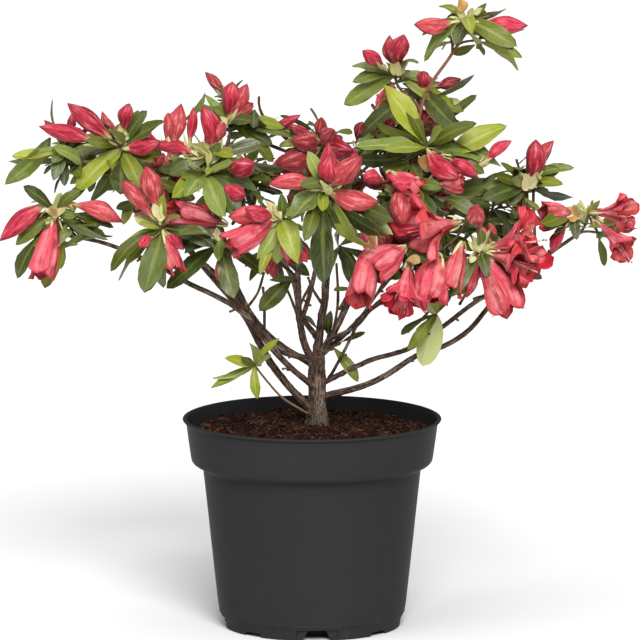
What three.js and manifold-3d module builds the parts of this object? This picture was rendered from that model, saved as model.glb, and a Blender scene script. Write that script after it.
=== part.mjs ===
// A potted evergreen azalea: a thin-walled nursery pot filled with peat, a short flared trunk
// that forks just above the soil, long tapering boughs, and a loose crown of separate masses
// of leaf and blossom.
//
// Millimetres, +Z up. The origin is the centre of the pot's flat underside, the front of the
// plant faces -Y, and the crown spreads mostly along X.

import * as THREE from 'three';
import { mergeVertices } from 'three/addons/utils/BufferGeometryUtils.js';
import Module from 'manifold-3d';

const wasm = await Module();
wasm.setup();

// ---------------------------------------------------------------- driving dimensions

const GAP = 0.35; // clearance left between two pieces that touch

const POT = {
  height: 155,
  wall: 1.4,
  floor: 2,
  wellRadius: 50, // the flat middle of the floor, which stands on the ground
  wellSlope: 4.5, // how much wider that is at its top
  baseLift: 8.6, // how far the rest of the floor is off the ground
  footRing: 2.2, // thickness of the ring under the wall
  footRadius: 65.6,
  footHeight: 6,
  skirtRadius: 68.1, // the foot leans out to here
  skirtHeight: 9.9,
  bodyFootRadius: 69,
  bodyFoot: 13.2,
  bodyTopRadius: 80.4,
  bodyTop: 116.4, // where the wall turns out into the collar
  collarRadius: 89.3,
  collarFoot: 125.2,
  collarTopRadius: 92.9,
  lipRadius: 95.5,
  lipHeight: 2.6,
  segments: 32,
};

// Drain notches in the foot ring: every other one is deep, with a flat panel round it.
const NOTCH = { count: 8, turn: 3.3, inner: 58, depth: 14 };
const DEEP = { halfFoot: 11.4, halfTop: 5.6, height: 7.7 };
const SHALLOW = { halfFoot: 8.2, halfTop: 7, height: 2.7 };
const PANEL = { half: 15.2, plane: 64.5, height: 8 };

const SOIL = {
  crown: 149, // height of the mound round the trunk
  crownRadius: 20,
  shoulder: 147, // height half-way from there to the wall
  edge: 143, // height at the wall
  segments: 16, // a divisor of the pot's, so that its corners stay inside the wall
};

const TRUNK = {
  base: 149 + GAP,
  path: [[3, 4, 148], [4, 4, 172], [4, 3, 190], [4, 2, 202]],
  radii: [6.8, 5.6],
  flare: 1.9, // extra radius of the root flare at the soil
  flareReach: 0.12, // share of the height over which it dies away
};

// Each limb leaves its parent at a share of the parent's length, goes through a few bends and
// ends inside a mass. radii are at the foot and at the tip.
const LIMBS = [
  { name: 'stem_centre', parent: 'trunk', share: 0.97, radii: [3.2, 2.2],
    bends: [[7, 8, 226], [10, 16, 245], [7, 34, 289]], tip: [1, 44, 340] },
  { name: 'stem_right', parent: 'trunk', share: 0.95, radii: [2.5, 1.8],
    bends: [[18, 0, 222], [28, -6, 244], [49, -12, 286]], tip: [68, -18, 316] },
  { name: 'stem_left', parent: 'trunk', share: 0.86, radii: [2.9, 1.9],
    bends: [[-4, -3, 206], [-9, -14, 230], [-10, -30, 255]], tip: [-11, -50, 290] },
  { name: 'stem_front', parent: 'stem_left', share: 0.34, radii: [1.8, 1.3],
    bends: [[-2, -34, 251], [4, -58, 281]], tip: [10, -70, 310] },
  { name: 'bough_left', parent: 'trunk', share: 0.9, radii: [2.5, 1.9],
    bends: [[-21, -4, 205], [-31, -6, 214], [-44, -9, 229], [-53, -12, 245], [-60, -16, 273]],
    tip: [-72, -24, 318] },
  { name: 'bough_left_fork', parent: 'bough_left', share: 0.52, radii: [1.8, 1.2],
    bends: [[-66, -28, 263], [-80, -40, 277]], tip: [-100, -54, 298] },
  { name: 'bough_low_left', parent: 'trunk', share: 0.5, radii: [2.3, 1.4],
    bends: [[-15, -9, 193], [-31, -15, 211], [-44, -20, 230], [-58, -22, 242], [-71, -20, 249],
      [-91, -17, 258], [-112, -15, 270], [-149, -20, 287]], tip: [-178, -34, 296] },
  { name: 'bough_left_rear', parent: 'trunk', share: 0.16, radii: [2.8, 1.6],
    bends: [[-14, 4, 174], [-29, 5, 193], [-38, 8, 208], [-50, 12, 230], [-72, 14, 256]],
    tip: [-140, -4, 338] },
  { name: 'bough_right', parent: 'trunk', share: 0.56, radii: [2.0, 1.7],
    bends: [[43, -8, 199], [71, -11, 208], [97, -16, 226], [113, -24, 240]], tip: [130, -36, 254] },
  { name: 'bough_low_right', parent: 'trunk', share: 0.38, radii: [2.6, 1.2],
    bends: [[40, -10, 181], [55, -13, 189], [77, -18, 204], [100, -14, 212], [116, -8, 222],
      [132, -2, 240], [161, 4, 266]], tip: [196, 0, 292] },
  { name: 'twig_right', parent: 'bough_right', share: 0.06, radii: [1.2, 0.9],
    bends: [[24, -12, 207], [33, -20, 227], [43, -32, 246]], tip: [56, -44, 264] },
  { name: 'bough_mid_right', parent: 'stem_right', share: 0.12, radii: [1.5, 1.0],
    bends: [[32, -6, 224], [44, -14, 239]], tip: [60, -32, 256] },
  { name: 'shoot_left', parent: 'trunk', share: 0.1, radii: [1.0, 0.75],
    bends: [[-9, -10, 163], [-22, -18, 173], [-33, -28, 187]], tip: [-42, -36, 200] },
  { name: 'shoot_right', parent: 'bough_right', share: 0.5, radii: [1.0, 0.8],
    bends: [[74, -24, 215]], tip: [84, -42, 226] },
  { name: 'stem_top', parent: 'stem_right', share: 1, radii: [1.5, 1.1],
    bends: [[76, -22, 370], [84, -18, 400], [100, -17, 424]], tip: [113, -18, 444] },
  { name: 'bough_back_left', parent: 'trunk', share: 0.8, radii: [2.4, 1.4],
    bends: [[-29, 34, 208], [-46, 52, 225], [-66, 68, 260]], tip: [-110, 82, 308] },
  { name: 'bough_back_mid_left', parent: 'stem_centre', share: 0.08, radii: [2.1, 1.3],
    bends: [[-9, 46, 226], [-14, 68, 246], [-34, 90, 280]], tip: [-53, 104, 312] },
  { name: 'bough_back_mid', parent: 'stem_centre', share: 0.2, radii: [2.1, 1.3],
    bends: [[11, 50, 246], [13, 88, 280]], tip: [15, 110, 310] },
  { name: 'bough_back_mid_right', parent: 'stem_right', share: 0.16, radii: [1.8, 1.2],
    bends: [[29, 40, 240], [54, 84, 272]], tip: [74, 104, 300] },
  { name: 'bough_back_right', parent: 'trunk', share: 0.94, radii: [1.9, 1.2],
    bends: [[24, 16, 214], [41, 34, 228], [74, 52, 248], [116, 68, 280]], tip: [136, 76, 298] },
];

// Each mass of leaf and blossom: its centre, its half sizes along X, Y and Z, and the number
// that its lobes are drawn from. An earlier mass keeps its shape where two meet.
const MASSES = [
  { name: 'crest', centre: [115, -18, 444], half: [42, 27, 25], seed: 3 },
  { name: 'upper_spray', centre: [66, 2, 402], half: [44, 32, 34], seed: 7 },
  { name: 'upper_mid', centre: [87, -24, 360], half: [54, 36, 30], seed: 11 },
  { name: 'top_left', centre: [-160, -8, 354], half: [63, 38, 37], seed: 15 },
  { name: 'low_left', centre: [-183, -42, 297], half: [46, 34, 35], seed: 19 },
  { name: 'left_mid', centre: [-108, -58, 303], half: [40, 34, 44], seed: 23 },
  { name: 'left_top', centre: [-79, -28, 350], half: [37, 32, 38], seed: 27 },
  { name: 'left_peak', centre: [-49, 14, 382], half: [30, 30, 24], seed: 31 },
  { name: 'centre_left', centre: [-32, -66, 300], half: [34, 34, 38], seed: 35 },
  { name: 'centre', centre: [11, -72, 318], half: [38, 36, 49], seed: 39 },
  { name: 'centre_back', centre: [0, 46, 356], half: [35, 36, 24], seed: 43 },
  { name: 'centre_right', centre: [74, -18, 320], half: [46, 34, 31], seed: 47 },
  { name: 'bloom_low', centre: [63, -48, 267], half: [40, 32, 30], seed: 51 },
  { name: 'right_mid', centre: [140, -42, 279], half: [37, 34, 41], seed: 55 },
  { name: 'right_top', centre: [160, 8, 334], half: [40, 36, 31], seed: 59 },
  { name: 'far_right', centre: [206, -8, 296], half: [33, 30, 31], seed: 63 },
  { name: 'sprig_low_right', centre: [85, -43, 223], half: [21, 17, 27], seed: 67 },
  { name: 'sprig_low_left', centre: [-49, -36, 201], half: [27, 20, 24], seed: 71 },
  { name: 'back_high', centre: [54, 70, 359], half: [40, 36, 33], seed: 75 },
  { name: 'back_left', centre: [-119, 84, 320], half: [46, 42, 34], seed: 79 },
  { name: 'back_mid_left', centre: [-54, 106, 318], half: [44, 42, 37], seed: 83 },
  { name: 'back_mid', centre: [13, 114, 314], half: [42, 42, 37], seed: 87 },
  { name: 'back_mid_right', centre: [76, 108, 307], half: [44, 42, 37], seed: 91 },
  { name: 'back_right', centre: [138, 76, 302], half: [40, 40, 34], seed: 95 },
];

const LOBES = { count: 7, rise: 0.32, sharpness: 7, dents: 4, dip: 0.2 };
const LIMB_SIDES = 6;
const LIMB_STEP = 26; // length of limb between two rings

const COLOURS = {
  pot: { color: 0x1b1c1f, roughness: 0.45 },
  soil: { color: 0x3a231b, roughness: 1 },
  wood: { color: 0x5d4a40, roughness: 0.9 },
  leaf: { color: 0x4f7a2c, roughness: 0.6 },
  blossom: { color: 0xd8465a, roughness: 0.6 },
};

const IN_BLOOM = ['crest', 'upper_spray', 'left_peak', 'centre_right', 'bloom_low', 'right_mid',
  'right_top', 'far_right', 'low_left'];

// ---------------------------------------------------------------- solids

// A closed geometry as a solid: shared corners are merged, and the flat triangles that a
// lathe leaves at its poles are dropped.
function solidOf(geometry) {
  const bare = geometry.clone();
  bare.deleteAttribute('normal');
  bare.deleteAttribute('uv');
  const merged = mergeVertices(bare, 1e-3);
  const index = merged.index.array;
  const corners = [];
  for (let i = 0; i < index.length; i += 3) {
    const [a, b, c] = [index[i], index[i + 1], index[i + 2]];
    if (a !== b && b !== c && c !== a) corners.push(a, b, c);
  }
  const vertProperties = new Float32Array(merged.attributes.position.array);
  const triVerts = new Uint32Array(corners);
  return new wasm.Manifold(new wasm.Mesh({ numProp: 3, vertProperties, triVerts }));
}

// The solid's biggest separate piece, for when a cut leaves crumbs behind.
function biggestPiece(solid) {
  return solid.decompose().reduce((best, piece) => (piece.volume() > best.volume() ? piece : best));
}

function geometryOf(solid) {
  const { vertProperties, triVerts } = solid.getMesh();
  const geometry = new THREE.BufferGeometry();
  geometry.setAttribute('position', new THREE.BufferAttribute(vertProperties, 3));
  geometry.setIndex(new THREE.BufferAttribute(triVerts, 1));
  geometry.computeVertexNormals();
  return geometry;
}

function apart(a, b) {
  const [p, q] = [a.boundingBox(), b.boundingBox()];
  return [0, 1, 2].some((i) => p.min[i] > q.max[i] || q.min[i] > p.max[i]);
}

// A solid less all the others that reach it.
function cutBy(solid, others) {
  return others.filter((other) => !apart(solid, other)).reduce((rest, other) => rest.subtract(other), solid);
}

// Repeatable random numbers from 0 to 1.
function seeded(seed) {
  let state = seed * 2654435761;
  return () => {
    state = (state + 0x6d2b79f5) | 0;
    let mixed = Math.imul(state ^ (state >>> 15), 1 | state);
    mixed = (mixed + Math.imul(mixed ^ (mixed >>> 7), 61 | mixed)) ^ mixed;
    return ((mixed ^ (mixed >>> 14)) >>> 0) / 4294967296;
  };
}

// ---------------------------------------------------------------- pot and soil

// The underside, from the flat middle out over the lifted part to the foot ring, as radius and
// height.
function baseOutline() {
  const ringRadius = POT.footRadius - POT.footRing;
  return [
    [0, 0],
    [POT.wellRadius, 0],
    [POT.wellRadius + POT.wellSlope, POT.baseLift],
    [ringRadius, POT.baseLift],
    [ringRadius, 0],
  ];
}

// The outside, from the foot up to the lip.
function outerOutline() {
  return [
    [POT.footRadius, 0],
    [POT.footRadius + 0.9, POT.footHeight],
    [POT.skirtRadius, POT.skirtHeight],
    [POT.bodyFootRadius, POT.bodyFoot],
    [POT.bodyTopRadius, POT.bodyTop],
    [POT.bodyTopRadius + 0.9, POT.bodyTop + 2.2],
    [POT.collarRadius - 1.5, POT.collarFoot - 3],
    [POT.collarRadius, POT.collarFoot],
    [POT.collarTopRadius, POT.height - POT.lipHeight],
    [POT.lipRadius, POT.height - POT.lipHeight + 0.8],
    [POT.lipRadius, POT.height - 0.8],
    [POT.lipRadius - 1, POT.height],
  ];
}

// The inside, from the flat middle of the floor up to the mouth, one wall's thickness inside
// the outer outlines.
function innerOutline() {
  const { wall } = POT;
  return [
    [POT.wellRadius - 0.6, POT.floor],
    [POT.wellRadius + POT.wellSlope - wall, POT.baseLift + wall],
    [POT.footRadius - wall, POT.baseLift + wall],
    [POT.bodyFootRadius - wall, POT.bodyFoot + wall],
    [POT.bodyTopRadius - wall, POT.bodyTop],
    [POT.bodyTopRadius + 0.2, POT.bodyTop + 4],
    [POT.collarRadius - 1.9 * wall, POT.collarFoot - wall],
    [POT.collarRadius - wall, POT.collarFoot + 1],
    [POT.collarTopRadius - wall, POT.height - POT.lipHeight],
    [POT.collarTopRadius + 0.5, POT.height],
  ];
}

function turned(outline, segments) {
  const points = outline.map(([radius, height]) => new THREE.Vector2(radius, height));
  return new THREE.LatheGeometry(points, segments).rotateX(Math.PI / 2);
}

// A cutter with a four-sided face, pushed out from a radius on the front of the pot.
function footCutter(halfFoot, halfTop, height, radius) {
  const below = 1;
  const spread = (below * (halfFoot - halfTop)) / height;
  const face = new THREE.Shape([
    new THREE.Vector2(-halfFoot - spread, -below),
    new THREE.Vector2(halfFoot + spread, -below),
    new THREE.Vector2(halfTop, height),
    new THREE.Vector2(-halfTop, height),
  ]);
  return new THREE.ExtrudeGeometry(face, { depth: NOTCH.depth, bevelEnabled: false })
    .rotateX(Math.PI / 2)
    .translate(0, -radius, 0);
}

function potSolid() {
  const outline = [...baseOutline(), ...outerOutline(), ...innerOutline().reverse(), [0, POT.floor]];
  const turn = THREE.MathUtils.degToRad(NOTCH.turn);
  let pot = solidOf(turned(outline, POT.segments));
  for (let i = 0; i < NOTCH.count; i += 1) {
    const deep = i % 2 === 0;
    const { halfFoot, halfTop, height } = deep ? DEEP : SHALLOW;
    const cutters = [footCutter(halfFoot, halfTop, height, NOTCH.inner)];
    if (deep) cutters.push(footCutter(PANEL.half, PANEL.half, PANEL.height, PANEL.plane));
    for (const cutter of cutters) {
      pot = pot.subtract(solidOf(cutter.rotateZ(turn + (i * 2 * Math.PI) / NOTCH.count)));
    }
  }
  return pot;
}

// The radius of the inner wall at a height, between the outline's corners.
function innerRadius(height) {
  const outline = innerOutline();
  const above = outline.findIndex(([, top]) => top >= height);
  const [[lowRadius, low], [highRadius, high]] = outline.slice(above - 1, above + 1);
  return lowRadius + ((highRadius - lowRadius) * (height - low)) / (high - low);
}

// The peat: it fills the pot's inside up to its mound, just clear of the floor and the wall.
function soilSolid() {
  const inset = 2 * GAP;
  const fill = innerOutline()
    .filter(([, height]) => height < SOIL.edge)
    .map(([radius, height]) => [radius - inset, height + GAP]);
  const edgeRadius = innerRadius(SOIL.edge) - inset;
  const outline = [
    [0, POT.floor + GAP],
    ...fill,
    [edgeRadius, SOIL.edge],
    [(edgeRadius + SOIL.crownRadius) / 2, SOIL.shoulder],
    [SOIL.crownRadius, SOIL.crown],
    [0, SOIL.crown],
  ];
  return solidOf(turned(outline, SOIL.segments));
}

// ---------------------------------------------------------------- wood

// A limb: a cylinder whose rings are carried along a curve, with the radius given at each
// share of the way.
function limbSolid(curve, radiusAt, swell) {
  const rings = Math.max(3, Math.round(curve.getLength() / LIMB_STEP));
  const frames = curve.computeFrenetFrames(rings, false);
  const geometry = new THREE.CylinderGeometry(1, 1, 1, LIMB_SIDES, rings);
  const position = geometry.attributes.position;
  for (let i = 0; i < position.count; i += 1) {
    const share = position.getY(i) + 0.5;
    const ring = Math.round(share * rings);
    const radius = radiusAt(share) + swell;
    const point = curve.getPointAt(ring / rings)
      .addScaledVector(frames.binormals[ring], position.getX(i) * radius)
      .addScaledVector(frames.normals[ring], position.getZ(i) * radius);
    position.setXYZ(i, point.x, point.y, point.z);
  }
  return solidOf(geometry);
}

function curveThrough(points) {
  return new THREE.CatmullRomCurve3(points.map((p) => new THREE.Vector3(...p)), false, 'centripetal');
}

function trunkRadius(share) {
  const [foot, fork] = TRUNK.radii;
  return foot + (fork - foot) * share + TRUNK.flare * Math.exp(-share / TRUNK.flareReach);
}

// ---------------------------------------------------------------- foliage

// A mass: a ball pushed out in a few lobes and in at a few dents, all in directions of its
// own, then stretched until its box is the named size.
function massSolid({ centre, half, seed }, swell) {
  const random = seeded(seed);
  const anyDirection = () => new THREE.Vector3().setFromSphericalCoords(
    1, Math.acos(1 - 2 * random()), 2 * Math.PI * random());
  const bumps = [];
  for (let i = 0; i < LOBES.count + LOBES.dents; i += 1) {
    bumps.push({ axis: anyDirection(), height: i < LOBES.count ? LOBES.rise : -LOBES.dip });
  }
  const geometry = mergeVertices(new THREE.IcosahedronGeometry(1, 2).deleteAttribute('normal')
    .deleteAttribute('uv'), 1e-3);
  const position = geometry.attributes.position;
  const point = new THREE.Vector3();
  for (let i = 0; i < position.count; i += 1) {
    point.fromBufferAttribute(position, i).normalize();
    const height = bumps.reduce(
      (sum, bump) => sum + bump.height * Math.exp(LOBES.sharpness * (point.dot(bump.axis) - 1)), 1);
    position.setXYZ(i, point.x * height, point.y * height, point.z * height);
  }
  geometry.computeBoundingBox();
  const box = geometry.boundingBox;
  const size = box.getSize(new THREE.Vector3());
  const middle = box.getCenter(new THREE.Vector3());
  const stretch = half.map((h, axis) => (2 * (h + swell)) / size.getComponent(axis));
  geometry.translate(-middle.x, -middle.y, -middle.z);
  geometry.scale(...stretch);
  geometry.translate(...centre);
  return solidOf(geometry);
}

// ---------------------------------------------------------------- assembly

const azalea = new THREE.Group();
azalea.name = 'azalea_in_pot';

function place(name, solid, finish) {
  const material = new THREE.MeshStandardMaterial({ ...COLOURS[finish], metalness: 0 });
  const mesh = new THREE.Mesh(geometryOf(solid), material);
  mesh.name = name;
  azalea.add(mesh);
}

place('pot', potSolid(), 'pot');
place('soil', soilSolid(), 'soil');

const masses = [];
for (const row of MASSES) {
  const whole = massSolid(row, 0);
  const shape = biggestPiece(cutBy(whole, masses));
  masses.push(massSolid(row, GAP));
  place(row.name, shape, IN_BLOOM.includes(row.name) ? 'blossom' : 'leaf');
}

const trunkCurve = curveThrough(TRUNK.path);
const trunk = limbSolid(trunkCurve, trunkRadius, 0).trimByPlane([0, 0, 1], TRUNK.base);
place('trunk', trunk, 'wood');

const curves = { trunk: trunkCurve };
const wood = [limbSolid(trunkCurve, trunkRadius, GAP)];
for (const { name, parent, share, radii, bends, tip } of LIMBS) {
  const foot = curves[parent].getPointAt(share);
  const curve = curveThrough([foot.toArray(), ...bends, tip]);
  const radiusAt = (along) => radii[0] + (radii[1] - radii[0]) * along;
  const limb = biggestPiece(cutBy(limbSolid(curve, radiusAt, 0), [...wood, ...masses]));
  curves[name] = curve;
  wood.push(limbSolid(curve, radiusAt, GAP));
  place(name, limb, 'wood');
}

export default azalea;
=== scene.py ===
# %% [markdown]
# # A potted azalea
#
# The object is an evergreen azalea in bud and blossom, standing in its black nursery pot. A packed
# model already fixes the size and place of every part: pot, peat, trunk, boughs, and the masses of
# leaf and blossom as plain solids. These cells dress that model. Each first says what the piece is
# on the real plant, how it could be made, and why one way was picked.
#
# We begin by loading the model.

import bpy
import numpy as np
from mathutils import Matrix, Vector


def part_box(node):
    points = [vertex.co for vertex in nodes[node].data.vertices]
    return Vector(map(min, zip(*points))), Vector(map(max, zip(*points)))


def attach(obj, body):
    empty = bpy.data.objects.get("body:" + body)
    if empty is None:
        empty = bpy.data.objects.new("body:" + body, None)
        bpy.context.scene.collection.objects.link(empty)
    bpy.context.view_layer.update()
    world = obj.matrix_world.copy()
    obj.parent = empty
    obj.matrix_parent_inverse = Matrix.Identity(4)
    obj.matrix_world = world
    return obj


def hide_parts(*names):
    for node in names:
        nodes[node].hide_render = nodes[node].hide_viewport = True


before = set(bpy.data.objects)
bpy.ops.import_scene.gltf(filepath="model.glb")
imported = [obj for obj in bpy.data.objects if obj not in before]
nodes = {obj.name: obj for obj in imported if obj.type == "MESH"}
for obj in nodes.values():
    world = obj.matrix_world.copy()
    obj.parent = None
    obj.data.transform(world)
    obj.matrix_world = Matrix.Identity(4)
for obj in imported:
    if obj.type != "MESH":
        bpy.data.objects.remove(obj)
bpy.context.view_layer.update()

MM = 0.001

# %% [markdown]
# ## Camera, floor and light
#
# A plant this fine is best seen through a long lens from far off, which keeps near and far twigs at
# the same scale. A wide lens close by would swell the front blossoms. The camera looks down by a
# few degrees, just enough to see the peat inside the rim.
#
# The light is a studio's: a pale floor, a weak even surround, and soft lamps. Panels near the plant
# would light the floor in patches. Sun lamps with a wide disc give soft shade too, and they light a
# floor of any size evenly. The main one shines from the front, a little to the right. A strong
# surround would wash out the shade between the leaves and put bright edges on the black pot.

# %% Place the camera
VIEW_RISE = np.radians(9.4)
VIEW_DISTANCE = 6.0
FRAME_WIDTH = 471.3 * MM
AIM = np.array([5.9, 0.0, 227.7]) * MM
SENSOR_WIDTH = 36.0

look = np.array([0.0, np.cos(VIEW_RISE), -np.sin(VIEW_RISE)])
camera_data = bpy.data.cameras.new("long_lens")
camera_data.sensor_width = SENSOR_WIDTH
camera_data.lens = SENSOR_WIDTH * VIEW_DISTANCE / FRAME_WIDTH
camera = bpy.data.objects.new("long_lens", camera_data)
camera.location = AIM - VIEW_DISTANCE * look
camera.rotation_euler = (np.pi / 2 - VIEW_RISE, 0.0, 0.0)
scene = bpy.context.scene
scene.collection.objects.link(camera)
scene.camera = camera
print("lens", round(camera_data.lens), "mm at", VIEW_DISTANCE, "m")

# %% Lay the floor and hang the lamps
FLOOR_SIZE = 30.0
FLOOR_DROP = 0.2 * MM
FLOOR_CORNERS = ((-1, -1), (1, -1), (1, 1), (-1, 1))
# name: degrees to the right of the front, degrees above the floor, width of the disc, strength
LAMPS = {"key": (9, 36, 26, 3.4), "left_fill": (-48, 44, 50, 0.7), "top": (10, 82, 60, 1.1)}
SURROUND = 0.24


def soft_sun(name, turn, rise, disc, strength):
    """A sun lamp that points down from its height, and is then turned round the upright axis."""
    data = bpy.data.lights.new(name, "SUN")
    data.energy = strength
    data.angle = np.radians(disc)
    lamp = bpy.data.objects.new(name, data)
    lamp.rotation_euler = (np.radians(90 - rise), 0.0, np.radians(turn))
    scene.collection.objects.link(lamp)


def floor_finish():
    """A matt white, the same all over."""
    material = bpy.data.materials.new("floor_white")
    material.use_nodes = True
    values = {"Base Color": (0.84, 0.84, 0.84, 1.0), "Roughness": 0.9, "Specular IOR Level": 0.1}
    for name, value in values.items():
        material.node_tree.nodes["Principled BSDF"].inputs[name].default_value = value
    return material


floor_mesh = bpy.data.meshes.new("floor")
floor_mesh.from_pydata([(x * FLOOR_SIZE / 2, y * FLOOR_SIZE / 2, -FLOOR_DROP) for x, y in FLOOR_CORNERS],
                       [], [(0, 1, 2, 3)])
floor_mesh.materials.append(floor_finish())
floor = bpy.data.objects.new("floor", floor_mesh)
scene.collection.objects.link(floor)

for name, settings in LAMPS.items():
    soft_sun(name, *settings)
world = bpy.data.worlds.new("white_tent")
world.use_nodes = True
surround = world.node_tree.nodes["Background"].inputs
surround["Color"].default_value = (1.0, 1.0, 1.0, 1.0)
surround["Strength"].default_value = SURROUND
scene.world = world
scene.view_settings.view_transform = "Standard"
print("a floor and", len(LAMPS), "soft lamps in place")

# %% [markdown]
# ## From arrays of points to a mesh
#
# Every piece below is a grid of points: rows run along it and columns run across or round it. A
# grid is quick to work out with numpy, as whole arrays, and its cells are the faces. Hundreds of
# leaves are just one more dimension of the same array. Copies of one modelled leaf would all be
# alike, while here each one has its own curl and fold.
#
# Most shapes here are wrapped grids: the last column joins the first, and the first and last rows
# shrink to a point. Each such pole has to become one point of the mesh, so that the body is closed.

# %% Join points into faces
def cells_of(numbers):
    """Two triangles for each cell of a grid of point numbers (grids, rows, columns)."""
    low_left, low_right = numbers[:, :-1, :-1], numbers[:, :-1, 1:]
    top_right, top_left = numbers[:, 1:, 1:], numbers[:, 1:, :-1]
    lower = np.stack([low_left, low_right, top_right], axis=-1)
    upper = np.stack([low_left, top_right, top_left], axis=-1)
    return np.concatenate([lower.reshape(-1, 3), upper.reshape(-1, 3)])


def even_map(walls):
    """A map that spreads the rows and columns of wrapped grids evenly over the square."""
    rows, columns = walls.shape[-3], walls.shape[-2] + 1
    across, along = np.meshgrid(np.linspace(0, 1, columns), np.linspace(0, 1, rows))
    return np.broadcast_to(np.stack([across, along], axis=-1), walls.shape[:-3] + (rows, columns, 2))


def skin(walls, spots=None):
    """A closed surface over wrapped grids in mm (grids, rows, columns, 3), with a pole at each end.

    A map has one column more than its grid. It is an even one unless spots are given.
    """
    spots = even_map(walls) if spots is None else spots
    numbers = np.arange(walls[..., 0].size).reshape(walls.shape[:3])
    for pole in (0, -1):
        numbers[:, pole] = numbers[:, pole, :1]
    numbers = np.concatenate([numbers, numbers[:, :, :1]], axis=2)
    places = cells_of(np.arange(numbers.size).reshape(numbers.shape))
    return walls.reshape(-1, 3) * MM, cells_of(numbers), spots.reshape(-1, 2)[places]


def joined(surfaces):
    """Several surfaces as one, without the faces that have no width at a pole and the points that no
    face uses. It also says which points are left, for what is stored on each."""
    offsets = np.cumsum([0] + [len(points) for points, _, _ in surfaces[:-1]])
    points = np.concatenate([points for points, _, _ in surfaces])
    corners = np.concatenate([corners + offset for (_, corners, _), offset in zip(surfaces, offsets)])
    spots = np.concatenate([spots for _, _, spots in surfaces])
    first, second, third = corners.T
    whole = (first != second) & (second != third) & (third != first)
    used, corners = np.unique(corners[whole], return_inverse=True)
    return points[used], corners.reshape(-1, 3), spots[whole], used


print("cells of one 3 by 4 grid:", len(cells_of(np.arange(12).reshape(1, 3, 4))), "triangles")

# %% Put a piece into the scene
made_triangles = {}


def make_piece(name, surfaces, finish, stands_for=(), crease=None, grain=None):
    """A finished piece from its surfaces: its mesh and map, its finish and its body.

    stands_for names the model's nodes that it replaces, crease is the angle in degrees past which
    an edge stays crisp, and grain is a vector for each point, which a finish may read.
    """
    points, corners, spots, used = joined(surfaces)
    mesh = bpy.data.meshes.new(name)
    mesh.vertices.add(len(points))
    mesh.vertices.foreach_set("co", points.astype(np.float32).ravel())
    mesh.loops.add(corners.size)
    mesh.loops.foreach_set("vertex_index", corners.astype(np.int32).ravel())
    mesh.polygons.add(len(corners))
    mesh.polygons.foreach_set("loop_start", np.arange(0, corners.size, 3, dtype=np.int32))
    mesh.update(calc_edges=True)
    mesh.uv_layers.new(name="OFBake").uv.foreach_set("vector", spots.astype(np.float32).ravel())
    if grain is not None:
        along = mesh.attributes.new("grain", "FLOAT_VECTOR", "POINT")
        along.data.foreach_set("vector", grain[used].astype(np.float32).ravel())
    mesh.shade_smooth()
    if crease is not None:
        mesh.set_sharp_from_angle(angle=np.radians(crease))
    mesh.materials.append(finish)
    piece = bpy.data.objects.new(name, mesh)
    scene.collection.objects.link(piece)
    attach(piece, "root")
    if stands_for:
        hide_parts(*stands_for)
    made_triangles[name] = len(corners)
    print(f"{name}: {len(corners)} triangles")

# %% [markdown]
# ## Finishes are small networks
#
# A finish is a network of nodes that ends in one shader. The same few steps come back in each:
# read a place, make a pattern, and blend two colours by it. Small helpers for those steps keep a
# finish short enough to read as a recipe. Colours are written as they look on a screen, from 0 to
# 255, and turned into the linear values that light is added up in.

# %% Helpers for finishes
def paint(red, green, blue):
    """A screen colour as linear light: each part is raised to the power of 2.2."""
    return (*((np.array([red, green, blue]) / 255) ** 2.2), 1.0)


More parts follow.
